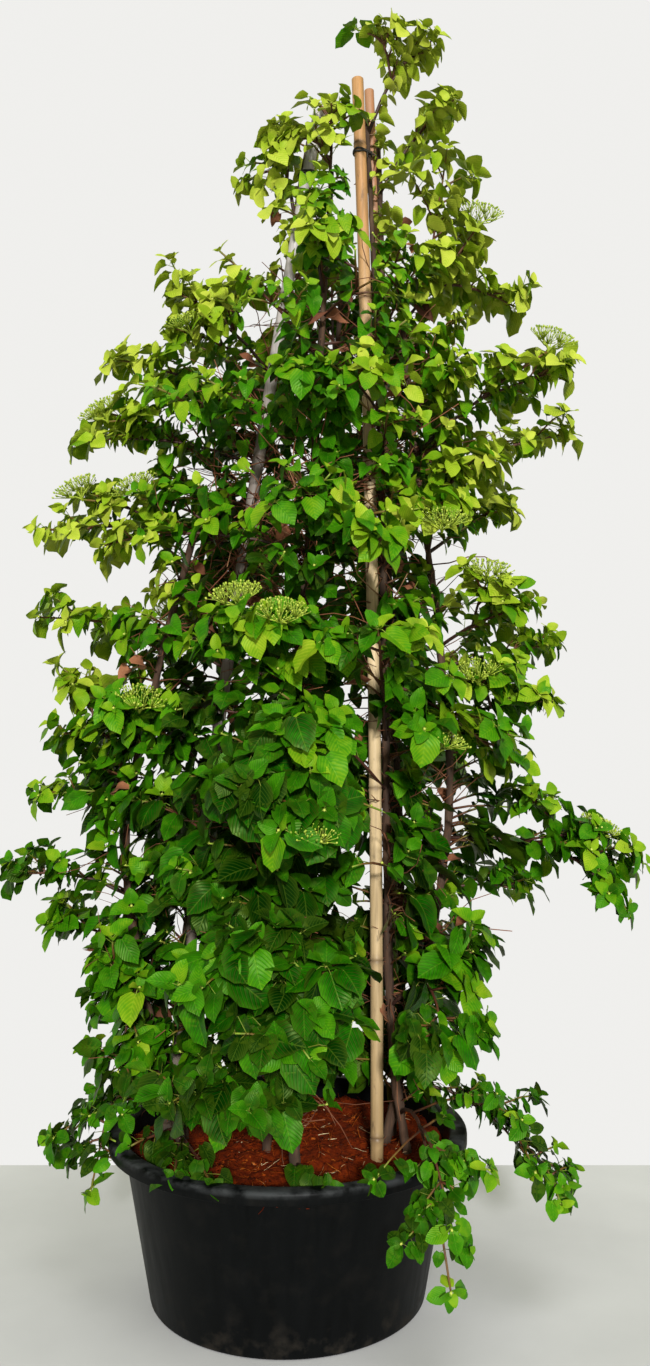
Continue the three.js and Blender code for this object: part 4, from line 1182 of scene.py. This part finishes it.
def build_stem(node, line, order, materials):
    """A woody stem with its rootlets, dead twigs, withered leaves and leafy side shoots."""
    rng = np.random.default_rng(STEM_SEED + order)
    growth = Growth()
    fine = np.linspace(0, len(line) - 1, 3 * len(line))
    points = np.stack([np.interp(fine, np.arange(len(line)), line[:, axis]) for axis in range(3)], axis=1)
    radii = np.array([stem_radius(point[2]) for point in points])
    rings, sides = len(points), STEM_SIDES
    dent = 1 + 0.16 * rng.uniform(-1, 1, (1, rings, sides)) + 0.1 * np.sin(fine * 1.7)[None, :, None]
    skin = tube_points(points[None], radii[None], sides, dent)
    growth.add(skin, tube_faces(rings, sides, 1), BARK, 0.3, rng.uniform(0, 1))
    reach = (line[-1][2] - CLING_FROM) / 1000
    heights = (CLING_FROM, min(line[-1][2] - 20, NARROW_FROM))
    for count, *form in (ROOTLETS, DEAD_TWIGS):
        add_clinging_lines(growth, line, rng, int(count * reach), heights, *form)
    if node in TANGLES:
        low, high, count = TANGLES[node]
        add_clinging_lines(growth, line, rng, count, (low, high), *TANGLED_TWIGS)
    withered = grow_withered(line, int(WITHERED_LEAVES * reach), rng)
    tones = varied_tones(rng, 0.4, 0.15, len(withered))
    add_leaves(growth, SMALL_FORM, withered, DEAD, tones, rng, ruffle=0.3)
    add_stalks(growth, withered, DEAD, tones * 0.8)
    leaves, leafy = [], []
    for twig in grow_laterals(line, rng):
        usual = at_height(LEAF_LENGTHS, twig.tip[2])
        start = max(0.15, 1 - 300 / twig.length)
        grown = with_room(grow_pairs(twig, usual, rng, start) + grow_young_leaves(twig, usual, rng), rng)
        if len(grown) > 1 or twig.kind == "fork":
            add_twig(growth, twig, rng)
            leafy.append(twig)
            leaves += grown
    for twig, grown in grow_creepers(node, line, rng):
        add_twig(growth, twig, rng)
        leaves += grown
    for twig in grow_inner_shoots(node, line, rng):
        usual = 1.1 * at_height(LEAF_LENGTHS, twig.tip[2])
        grown = with_room(grow_pairs(twig, usual, rng, SHOOT_PAIRS_START), rng)
        # Painted shade, with age: inner leaves are made darker.
        for leaf in grown:
            leaf.share -= INNER_SHARE_DROP
        if len(grown) > 1:
            add_twig(growth, twig, rng)
            leaves += grown
    add_all_leaves(growth, leaves, rng)
    add_end_buds(growth, leafy, rng)
    return growth.make(node + "_full", materials)


# Pot, compost, canes and ties.


def ring_surface(profile, sides):
    """A surface turned round the vertical axis, from (radius, height) points that end on the axis."""
    inner = profile[1:-1]
    ends = np.array([[0, 0, profile[0][1]], [0, 0, profile[-1][1]]])
    points = np.concatenate([ring_at(radius, height, sides) for radius, height in inner] + [ends])
    bottom, top = len(points) - 2, len(points) - 1
    side = np.arange(sides)
    after = (side + 1) % sides
    rows = np.arange(len(inner) - 1)[:, None] * sides
    quads = [rows + side, rows + after, rows + sides + after, rows + sides + side]
    quads = np.stack(quads, axis=2).reshape(-1, 4)
    last = (len(inner) - 1) * sides
    low = np.stack([np.full(sides, bottom), after, side], axis=1)
    high = np.stack([np.full(sides, top), last + side, last + after], axis=1)
    return points, quads, np.concatenate([low, high])


def rounded(profile, corner, steps=4):
    """The profile with each inner corner rounded by the given radius."""
    made = [profile[0]]
    for before, here, after in zip(*(map(np.array, profile[shift:]) for shift in range(3))):
        back, ahead = before - here, after - here
        cut = min(corner, 0.4 * np.linalg.norm(back), 0.4 * np.linalg.norm(ahead))
        start, end = here + cut * unit(back), here + cut * unit(ahead)
        made += [tuple(bowed(start, here, end, step / steps)) for step in range(steps + 1)]
    made.append(profile[-1])
    return made


def pot_inner_radius(height):
    share = height / (POT_HEIGHT - POT_WALL)
    return POT_BASE_RADIUS + (POT_NECK_RADIUS - POT_BASE_RADIUS) * share - POT_WALL


def build_pot(materials):
    """The pot, turned in one piece with rounded corners, and its drain holes cut by cylinders."""
    lip_inner = POT_RIM_RADIUS - LIP_WALL
    shoulder = POT_HEIGHT - POT_WALL
    skirt = POT_HEIGHT - LIP_DEPTH
    profile = [
        (0, 0), (POT_BASE_RADIUS, 0), (POT_NECK_RADIUS, shoulder), (lip_inner, shoulder), (lip_inner, skirt),
        (POT_RIM_RADIUS, skirt), (POT_RIM_RADIUS, POT_HEIGHT), (POT_NECK_RADIUS - 2, POT_HEIGHT),
        (pot_inner_radius(shoulder) - 1, shoulder - 3), (pot_inner_radius(POT_WALL), POT_WALL), (0, POT_WALL),
    ]
    growth = Growth()
    points, quads, triangles = ring_surface(rounded(profile, POT_CORNER), POT_SIDES)
    growth.add(points, [quads, triangles], 0, 0.5)
    pot = growth.make("pot_full", materials)
    drills = Growth()
    for hole in range(DRAIN_HOLES):
        angle = 2 * math.pi * (hole + 0.5) / DRAIN_HOLES
        x, y, _ = DRAIN_RING_RADIUS * heading_at(angle, 0)
        line = np.array([[(x, y, -POT_WALL), (x, y, 2 * POT_WALL)]], float)
        add_tubes(drills, line, np.array([[DRAIN_RADIUS, DRAIN_RADIUS]], float), DRAIN_SIDES, 0, 0.5)
    cutter = drills.make("drills", [])
    cut = pot.modifiers.new("drain", "BOOLEAN")
    cut.operation = "DIFFERENCE"
    cut.solver = "EXACT"
    cut.object = cutter
    bpy.context.view_layer.update()
    made = bpy.data.meshes.new_from_object(pot.evaluated_get(bpy.context.evaluated_depsgraph_get()))
    pot.modifiers.clear()
    pot.data = made
    bpy.data.objects.remove(cutter)
    return pot


def compost_height(x, y):
    """The loose surface of the compost: the part's swells, with lumps and crumbs on them."""
    swell = 5 * math.sin(x / 61 + 0.7) * math.cos(y / 53)
    lumps = 3 * math.sin(x / 23 + y / 31) + 2 * math.cos(x / 17 - y / 19)
    crumbs = 7 * noise.fractal(Vector((x / 22, y / 22, 0.3)), 0.7, 2.1, 4)
    return COMPOST_TOP + swell + lumps + crumbs


def build_compost(materials):
    """The filling as one solid, with bark chips, pale fibres and white crumbs scattered over it."""
    rng = np.random.default_rng(COMPOST_SEED)
    growth = Growth()
    floor = POT_WALL + FIT_GAP
    outer = pot_inner_radius(COMPOST_TOP) - 2 * FIT_GAP
    bottom = pot_inner_radius(floor) - 2 * FIT_GAP
    rings = [(radius, COMPOST_TOP) for radius in np.linspace(outer, 6, COMPOST_RINGS)]
    profile = [(0, floor), (bottom - 3, floor), (bottom, floor + 3), (outer, COMPOST_TOP - 12)] + rings
    profile.append((0, COMPOST_TOP))
    points, quads, triangles = ring_surface(profile, COMPOST_SIDES)
    for point in points:
        if point[2] > COMPOST_TOP - 1:
            point[2] = compost_height(point[0], point[1])
    growth.add(points, [quads, triangles], 0, 0.4)

    def scattered():
        radius = (outer - STREWN_INSIDE) * math.sqrt(rng.uniform(0, 1))
        x, y, _ = radius * heading_at(rng.uniform(0, 2 * math.pi), 0)
        return vec(x, y, compost_height(x, y))

    def strew(count, rises, lifts, lengths, behind, wander, thickness, shape, sides, tone):
        lines, sizes = [], []
        for _ in range(count):
            place = scattered()
            heading = heading_at(rng.uniform(0, 2 * math.pi), rng.uniform(*rises))
            if lifts:
                place += rng.uniform(*lifts) * UP
            length = rng.uniform(*lengths)
            start = place - behind * length * heading
            lines.append(noisy_line(start, heading, length, len(shape), rng, wander))
            sizes.append(rng.uniform(*thickness))
        radii = np.array(sizes)[:, None] * np.array([shape])
        add_tubes(growth, np.array(lines), radii, sides, 0, varied_tones(rng, tone, 0.2, count),
                  rng.uniform(0, 1, count))

    strew(*FIBRES)
    strew(*CHIPS)
    specks = np.array([scattered() for _ in range(CRUMBS)])
    add_beads(growth, specks, rng.uniform(-1, 1, (CRUMBS, 3)), rng.uniform(0.7, 1.5, CRUMBS), 0,
              np.ones(CRUMBS), np.ones(CRUMBS))
    return growth.make("compost_full", materials)


def build_cane(name, cane, order, materials):
    """A bamboo cane: even between its nodes, with a groove and a swollen ring at each, and cut square."""
    rng = np.random.default_rng(CANE_SEED + order)
    top = cane["places"][-1][2]
    corners = [(CANE_FOOT, 0.0)]
    for node in np.arange(CANE_FOOT + CANE_FIRST_NODE, top - CANE_TOP_PLAIN, CANE_NODE_SPACING):
        corners += [(node + offset, swell * CANE_NODE_SWELL) for offset, swell in CANE_RING]
    corners += [(top - CANE_BEVEL, 0.0), (top, -CANE_BEVEL)]
    heights, radii = [], []
    for (low, low_swell), (high, high_swell) in zip(corners, corners[1:]):
        steps = max(1, int((high - low) / CANE_STEP))
        low_radius, high_radius = cane["radius"] + low_swell, cane["radius"] + high_swell
        for step in range(steps):
            heights.append(low + (high - low) * (step / steps))
            radii.append(low_radius + (high_radius - low_radius) * (step / steps))
    heights.append(top)
    radii.append(cane["radius"] - CANE_BEVEL)
    points = np.array([cane_point(cane, height) for height in heights])
    skin = tube_points(points[None], np.array(radii)[None], CANE_SIDES)
    run = np.array(heights) - CANE_FOOT
    share = np.repeat(run / (top - CANE_FOOT), CANE_SIDES)
    half = CANE_NODE_SPACING / 2
    off_node = np.abs((run - CANE_FIRST_NODE + half) % CANE_NODE_SPACING - half)
    near = np.repeat(np.clip(1 - off_node / CANE_RING_REACH, 0, 1), CANE_SIDES)
    uv = np.stack([np.tile(np.arange(CANE_SIDES) / CANE_SIDES, len(heights)), share], axis=1)
    faces = tube_faces(len(points), CANE_SIDES, 1)
    growth = Growth()
    growth.add(skin, faces, 0, share, rng.uniform(0, 1), near, uv)
    return growth.make(name, materials)


def build_tie(name, cane, stem, height, materials):
    """A soft dark tie: two turns round a cane and a stem, ending in a small knot."""
    cane = CANES[cane]
    middle = cane_point(cane, height)
    other = line_at(STEM_LINES[stem], height)
    bearing = math.atan2(other[1] - middle[1], other[0] - middle[0])
    cane_reach = cane["radius"] + TIE_RADIUS
    stem_reach = stem_radius(height) + TIE_RADIUS
    line = []
    for centre, reach, turn, rise in ((middle, cane_reach, 0.5, 0), (other, stem_reach, -0.5, 2)):
        for step in range(TIE_ARC + 1):
            angle = bearing + turn * math.pi + math.pi * step / TIE_ARC
            x, y, _ = centre + reach * heading_at(angle, 0)
            line.append((x, y, height + rise))
    line.append(line[0])
    growth = Growth()
    line = np.array(line)
    for shift in TIE_TURNS:
        turn = line + shift * UP
        turn[:, 2] += 1.2 * np.sin(np.arange(len(turn)) * 0.9 + shift)
        add_tubes(growth, turn[None], np.full((1, len(turn)), 0.75 * TIE_RADIUS), 7, 0, 0.3)
    side = vec(-math.sin(bearing), math.cos(bearing), 0)
    knot = (middle + other) / 2 - side * (stem_reach + 3)
    for lean in (-0.7, 0.6):
        end = noisy_line(knot, -side + vec(lean, 0, -0.9), TIE_END, 5, np.random.default_rng(5), 0.2)
        add_tubes(growth, end[None], np.full((1, 5), 1.1), 6, 0, 0.3)
    return growth.make(name, materials)


# Materials. Every surface is drawn by nodes from its own marks, its blade map and fine noise.


class Nodes:
    """A short way to write a material's nodes."""

    def __init__(self, name):
        self.material = bpy.data.materials.new(name)
        self.material.use_nodes = True
        self.tree = self.material.node_tree
        self.shader = self.tree.nodes["Principled BSDF"]

    def add(self, kind, inputs=None, **settings):
        node = self.tree.nodes.new(kind)
        for key, value in settings.items():
            setattr(node, key, value)
        for key, value in (inputs or {}).items():
            self.link(value, node.inputs[key])
        return node

    def link(self, value, socket):
        if isinstance(value, bpy.types.NodeSocket):
            self.tree.links.new(value, socket)
        else:
            socket.default_value = value

    def math(self, operation, first, second=0.0):
        return self.add("ShaderNodeMath", {0: first, 1: second}, operation=operation).outputs[0]

    def vary(self, value, by, amount):
        """A value moved up and down by how far another is from a half."""
        return self.math("ADD", value, self.math("MULTIPLY", self.math("SUBTRACT", by, 0.5), amount))

    def mix(self, share, first, second):
        node = self.add("ShaderNodeMix", data_type="RGBA", clamp_factor=True)
        self.link(share, node.inputs["Factor"])
        self.link(first, node.inputs[6])
        self.link(second, node.inputs[7])
        return node.outputs[2]

    def ramp(self, value, *stops):
        node = self.add("ShaderNodeValToRGB", {"Fac": value})
        ramp = node.color_ramp
        while len(ramp.elements) < len(stops):
            ramp.elements.new(0.5)
        for element, (position, color) in zip(ramp.elements, stops):
            element.position = position
            element.color = (*color, 1)
        return node.outputs["Color"]

    def range(self, value, low, high, to_low=0.0, to_high=1.0):
        inputs = {"Value": value, "From Min": low, "From Max": high, "To Min": to_low, "To Max": to_high}
        return self.add("ShaderNodeMapRange", inputs, clamp=True).outputs[0]

    def noise(self, scale, detail=3.0, stretch=(1, 1, 1), roughness=0.55):
        place = self.add("ShaderNodeTexCoord").outputs["Object"]
        mapping = self.add("ShaderNodeMapping", {"Vector": place, "Scale": stretch})
        inputs = {"Vector": mapping.outputs[0], "Scale": scale, "Detail": detail, "Roughness": roughness}
        return self.add("ShaderNodeTexNoise", inputs).outputs["Fac"]

    def marks(self):
        """The tone, chance and underside marks of the surface."""
        mark = self.add("ShaderNodeAttribute", attribute_name="marks", attribute_type="GEOMETRY")
        parts = self.add("ShaderNodeSeparateColor", {"Color": mark.outputs["Color"]})
        return parts.outputs[0], parts.outputs[1], parts.outputs[2]

    def bump(self, height, strength, distance):
        inputs = {"Height": height, "Strength": strength, "Distance": distance}
        return self.add("ShaderNodeBump", inputs).outputs[0]

    def finish(self, color, roughness, normal=None, **sockets):
        self.link(color, self.shader.inputs["Base Color"])
        self.link(roughness, self.shader.inputs["Roughness"])
        if normal is not None:
            self.link(normal, self.shader.inputs["Normal"])
        for name, value in sockets.items():
            self.shader.inputs[name.replace("_", " ")].default_value = value
        return self.material


def leaf_material():
    """A leathery blade: sunk pinnate veins with painted shade along them, paler beneath, from dark green to
    fresh lime with its tone, which carries painted light and shade as well as age.
    """
    n = Nodes("leaf")
    tone, chance, under = n.marks()
    uv = n.add("ShaderNodeUVMap", uv_map="blade").outputs[0]
    parts = n.add("ShaderNodeSeparateXYZ", {"Vector": uv})
    across = n.math("ABSOLUTE", n.math("SUBTRACT", parts.outputs[0], 0.5))
    along = parts.outputs[1]
    forward = n.math("SUBTRACT", along, n.math("MULTIPLY", across, 0.85))
    curl = n.math("MULTIPLY", n.math("POWER", across, 2.0), 0.9)
    phase = n.math("FRACT", n.math("DIVIDE", n.math("SUBTRACT", forward, curl), 0.15))
    off_middle = n.math("ABSOLUTE", n.math("SUBTRACT", phase, 0.5))
    rib = n.range(across, 0.024, 0.008)
    vein = n.math("MAXIMUM", n.range(off_middle, 0.4, 0.49), rib)
    fine = n.noise(900.0, 4.0)
    blotch = n.noise(38.0, 3.0)
    shade = n.vary(n.vary(tone, blotch, 0.55), chance, 0.16)
    # Painted shade: the blade darkens towards each sunken vein and is lightest on the puffed middle between
    # veins.
    shade = n.math("SUBTRACT", shade, n.math("MULTIPLY", off_middle, 0.3))
    blade = n.ramp(
        shade,
        (0.0, (0.001, 0.018, 0.0002)), (0.2, (0.004, 0.068, 0.0002)), (0.4, (0.026, 0.156, 0.001)),
        (0.6, (0.115, 0.235, 0.004)), (0.8, (0.235, 0.335, 0.014)), (1.0, (0.4, 0.45, 0.05)),
    )
    veined = n.mix(n.math("MULTIPLY", vein, 0.14), blade, (0.25, 0.4, 0.03, 1))
    back = n.mix(0.12, blade, (0.26, 0.38, 0.02, 1))
    color = n.mix(under, veined, back)
    quilt = n.math("POWER", n.math("SUBTRACT", 1.0, n.math("MULTIPLY", off_middle, 2.0)), 0.6)
    relief = n.math("SUBTRACT", n.math("MULTIPLY", quilt, 0.7), n.math("MULTIPLY", rib, 0.6))
    relief = n.math("ADD", relief, n.math("MULTIPLY", fine, 0.12))
    normal = n.bump(relief, 0.26, 0.0014)
    roughness = n.range(blotch, 0.3, 0.7, 0.33, 0.46)
    return n.finish(color, roughness, normal, Specular_IOR_Level=0.16, Specular_Tint=(0.65, 1.0, 0.28, 1.0))


def plain_material(name, grain, by_tone, stops, roughness, bump=None):
    """A surface coloured by fine noise, and by its tone where that is varied by the noise."""
    n = Nodes(name)
    tone = n.marks()[0] if by_tone else None
    fine = n.noise(*grain)
    color = n.ramp(n.vary(tone, fine, by_tone) if by_tone else fine, *stops)
    if isinstance(roughness, tuple):
        roughness = n.range(fine, *roughness)
    return n.finish(color, roughness, n.bump(fine, *bump) if bump else None)


def twig_material():
    """Young wood and leaf stalks: brown bark where old, turning red-brown and then fresh green."""
    stops = [(0.0, (0.03, 0.009, 0.004)), (0.35, (0.085, 0.022, 0.008)), (0.6, (0.14, 0.08, 0.008)),
             (0.8, (0.15, 0.24, 0.01)), (1.0, (0.3, 0.4, 0.03))]
    roughness = (0.3, 0.7, 0.5, 0.72)
    return plain_material("young_wood", (260.0, 4.0, (1, 1, 0.2)), 0.3, stops, roughness, (0.5, 0.0008))


def flower_material():
    """Closed flower buds and their stalks, yellow-green with paler tips."""
    stops = [(0.2, (0.12, 0.21, 0.01)), (0.6, (0.34, 0.43, 0.03)), (0.85, (0.5, 0.55, 0.09)),
             (1.0, (0.62, 0.62, 0.2))]
    return plain_material("flower_bud", (700.0, 3.0), 0.3, stops, 0.55, (0.3, 0.0006))


def tie_material():
    stops = [(0.35, (0.012, 0.011, 0.01)), (0.7, (0.04, 0.036, 0.03))]
    return plain_material("tie_dark", (500.0, 4.0), 0, stops, 0.7, (0.5, 0.0006))


def floor_material():
    stops = [(0.3, (0.545, 0.54, 0.56)), (0.7, (0.61, 0.605, 0.625))]
    return plain_material("floor_pale", (3.0, 5.0), 0, stops, 0.7)


def bark_material():
    """Old climbing wood: flaking brown bark with grey ridges."""
    n = Nodes("old_bark")
    strips = n.noise(90.0, 6.0, (1, 1, 0.12), 0.65)
    patches = n.noise(14.0, 3.0)
    color = n.ramp(
        strips,
        (0.25, (0.014, 0.006, 0.003)), (0.45, (0.04, 0.018, 0.008)), (0.6, (0.075, 0.036, 0.017)),
        (0.8, (0.14, 0.08, 0.045)),
    )
    color = n.mix(n.range(patches, 0.45, 0.7, 0.0, 0.35), color, (0.08, 0.06, 0.04, 1))
    return n.finish(color, 0.88, n.bump(strips, 0.9, 0.002))


def dead_material():
    """Dry rootlets, dead twigs and withered leaves in red-brown and straw."""
    n = Nodes("dead_growth")
    tone, chance, _ = n.marks()
    fine = n.noise(220.0, 4.0)
    varied = n.math("MULTIPLY", n.math("ADD", fine, chance), 0.25)
    shade = n.math("ADD", n.math("MULTIPLY", tone, 0.7), varied)
    color = n.ramp(
        shade,
        (0.15, (0.035, 0.011, 0.005)), (0.45, (0.15, 0.045, 0.016)), (0.7, (0.27, 0.1, 0.04)),
        (0.95, (0.38, 0.22, 0.1)),
    )
    return n.finish(color, 0.85, n.bump(fine, 0.6, 0.001))


def pot_material():
    """Black moulded plastic with faint drag lines, dust near the foot, and a pale rim edge that is partly
    scuffs and partly a painted highlight.
    """
    n = Nodes("pot_black")
    drag = n.noise(60.0, 4.0, (1, 1, 0.06))
    dust = n.noise(26.0, 6.0)
    fine = n.noise(420.0, 3.0)
    place = n.add("ShaderNodeTexCoord").outputs["Object"]
    height = n.add("ShaderNodeSeparateXYZ", {"Vector": place}).outputs[2]
    foot = n.range(height, 0.07, 0.0)
    color = n.ramp(drag, (0.3, (0.0009, 0.0012, 0.0013)), (0.7, (0.0021, 0.0025, 0.0027)))
    dirt = n.math("MULTIPLY", n.math("ADD", foot, 0.12), n.range(dust, 0.5, 0.75))
    color = n.mix(n.math("MULTIPLY", dirt, 0.3), color, (0.08, 0.065, 0.05, 1))
    # Partly wear and partly a painted highlight: a pale grey band along the rim's top edge.
    rim_wear_and_highlight = n.math("MULTIPLY", n.range(height, 0.286, 0.296), n.range(dust, 0.42, 0.62))
    color = n.mix(n.math("MULTIPLY", rim_wear_and_highlight, 0.6), color, (0.06, 0.064, 0.067, 1))
    roughness = n.math("ADD", n.range(drag, 0.3, 0.7, 0.4, 0.52), n.math("MULTIPLY", dirt, 0.3))
    relief = n.math("ADD", n.math("MULTIPLY", drag, 0.6), n.math("MULTIPLY", fine, 0.15))
    return n.finish(color, roughness, n.bump(relief, 0.22, 0.0012), Specular_IOR_Level=0.07)


def compost_material():
    """Damp coir and bark: red-brown with pale fibres and nearly white crumbs, by tone."""
    n = Nodes("coir")
    tone, chance, _ = n.marks()
    coarse = n.noise(120.0, 8.0, roughness=0.7)
    fine = n.noise(600.0, 4.0)
    shade = n.vary(n.vary(tone, coarse, 0.9), chance, 0.15)
    color = n.ramp(
        shade,
        (0.05, (0.034, 0.004, 0.0003)), (0.35, (0.115, 0.012, 0.0007)), (0.6, (0.225, 0.03, 0.0014)),
        (0.85, (0.42, 0.105, 0.01)), (1.0, (0.8, 0.64, 0.36)),
    )
    relief = n.math("ADD", coarse, n.math("MULTIPLY", fine, 0.3))
    return n.finish(color, 0.93, n.bump(relief, 0.9, 0.004), Specular_IOR_Level=0.1)


def bamboo_material(name, low, middle, high, stain):
    """A weathered cane: long fine grain, a dark ring at each node, and a colour that changes upward."""
    n = Nodes(name)
    share, _, near = n.marks()
    grain = n.noise(160.0, 5.0, (1, 1, 0.03))
    patches = n.noise(9.0, 4.0, (1, 1, 0.4))
    speckle = n.noise(75.0, 3.0, (1, 1, 0.35))
    base = n.ramp(share, (0.0, low), (0.45, middle), (0.68, middle), (0.85, high), (1.0, high))
    color = n.mix(n.range(grain, 0.4, 0.75, 0.0, 0.55), base, (*[0.55 * part for part in low], 1))
    color = n.mix(n.range(patches, 0.5, 0.72, 0.0, stain), color, (0.14, 0.085, 0.045, 1))
    color = n.mix(n.range(speckle, 0.62, 0.7, 0.0, 0.5), color, (0.07, 0.05, 0.035, 1))
    color = n.mix(n.math("MULTIPLY", near, 0.75), color, (0.1, 0.06, 0.035, 1))
    roughness = n.range(grain, 0.3, 0.7, 0.42, 0.62)
    normal = n.bump(n.math("ADD", grain, speckle), 0.35, 0.0008)
    return n.finish(color, roughness, normal, Specular_IOR_Level=0.3)


def place_piece(piece, node):
    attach(piece, "root")
    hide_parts(node)


def add_camera():
    camera = show("camera", bpy.data.cameras.new("camera"))
    camera.data.sensor_width = SENSOR
    camera.data.lens = CAMERA_FOCAL_PIXELS / IMAGE_HEIGHT * SENSOR
    camera.location = CAMERA_PLACE
    camera.rotation_euler = (math.pi / 2 + CAMERA_TILT, 0, 0)
    bpy.context.scene.camera = camera


def add_sun(name, place, angle, strength):
    """A distant lamp that shines from the side of the given place, softened by its angle."""
    lamp = bpy.data.lights.new(name, "SUN")
    lamp.angle = angle
    lamp.energy = strength
    light = show(name, lamp)
    light.location = place
    light.rotation_euler = (-Vector(place)).to_track_quat("-Z", "Y").to_euler()


def add_surroundings():
    """A pale floor that ends a little behind the plant, and light from the front in a pale room."""
    mesh = bpy.data.meshes.new("floor")
    corners = [(-FLOOR_REACH, -FLOOR_REACH, 0), (FLOOR_REACH, -FLOOR_REACH, 0), (FLOOR_REACH, FLOOR_BACK, 0),
               (-FLOOR_REACH, FLOOR_BACK, 0)]
    mesh.from_pydata(corners, [], [(0, 1, 2, 3)])
    mesh.materials.append(floor_material())
    floor = show("floor", mesh)
    add_room_light()
    for name, lamp in LAMPS.items():
        add_sun(name, *lamp)


def add_room_light():
    """A white room: near white where it is seen, and dimmer as a light."""
    world = bpy.data.worlds.new("room")
    bpy.context.scene.world = world
    world.use_nodes = True
    nodes, links = world.node_tree.nodes, world.node_tree.links
    seen = nodes["Background"]
    seen.inputs["Color"].default_value = ROOM_SEEN
    lit = nodes.new("ShaderNodeBackground")
    lit.inputs["Color"].default_value = ROOM_LIGHT
    lit.inputs["Strength"].default_value = ROOM_STRENGTH
    path = nodes.new("ShaderNodeLightPath")
    blend = nodes.new("ShaderNodeMixShader")
    links.new(path.outputs["Is Camera Ray"], blend.inputs[0])
    links.new(lit.outputs[0], blend.inputs[1])
    links.new(seen.outputs[0], blend.inputs[2])
    links.new(blend.outputs[0], nodes["World Output"].inputs["Surface"])
    bpy.context.scene.view_settings.view_transform = "Standard"


def main():
    add_camera()
    add_surroundings()
    growing = [leaf_material(), twig_material(), flower_material()]
    woody = growing + [bark_material(), dead_material()]
    for order, (name, row) in enumerate(SPRAYS.items()):
        place_piece(build_spray(name + "_full", row, order, growing), name)
    for order, (name, line) in enumerate(STEM_LINES.items()):
        place_piece(build_stem(name, line, order, woody), name)
    bamboos = [
        bamboo_material("bamboo_front", (0.27, 0.165, 0.065), (0.76, 0.575, 0.32), (0.48, 0.25, 0.1), 0.35),
        bamboo_material("bamboo_grey", (0.15, 0.12, 0.09), (0.24, 0.2, 0.17), (0.5, 0.46, 0.44), 0.45),
        bamboo_material("bamboo_back", (0.62, 0.5, 0.36), (0.6, 0.46, 0.32), (0.42, 0.19, 0.09), 0.4),
    ]
    for order, (name, cane) in enumerate(CANES.items()):
        place_piece(build_cane(name + "_full", cane, order, [bamboos[order]]), name)
    ties = [tie_material()]
    for name, tie in TIES.items():
        place_piece(build_tie(name + "_full", *tie, ties), name)
    place_piece(build_pot([pot_material()]), "pot")
    place_piece(build_compost([compost_material()]), "compost")


main()
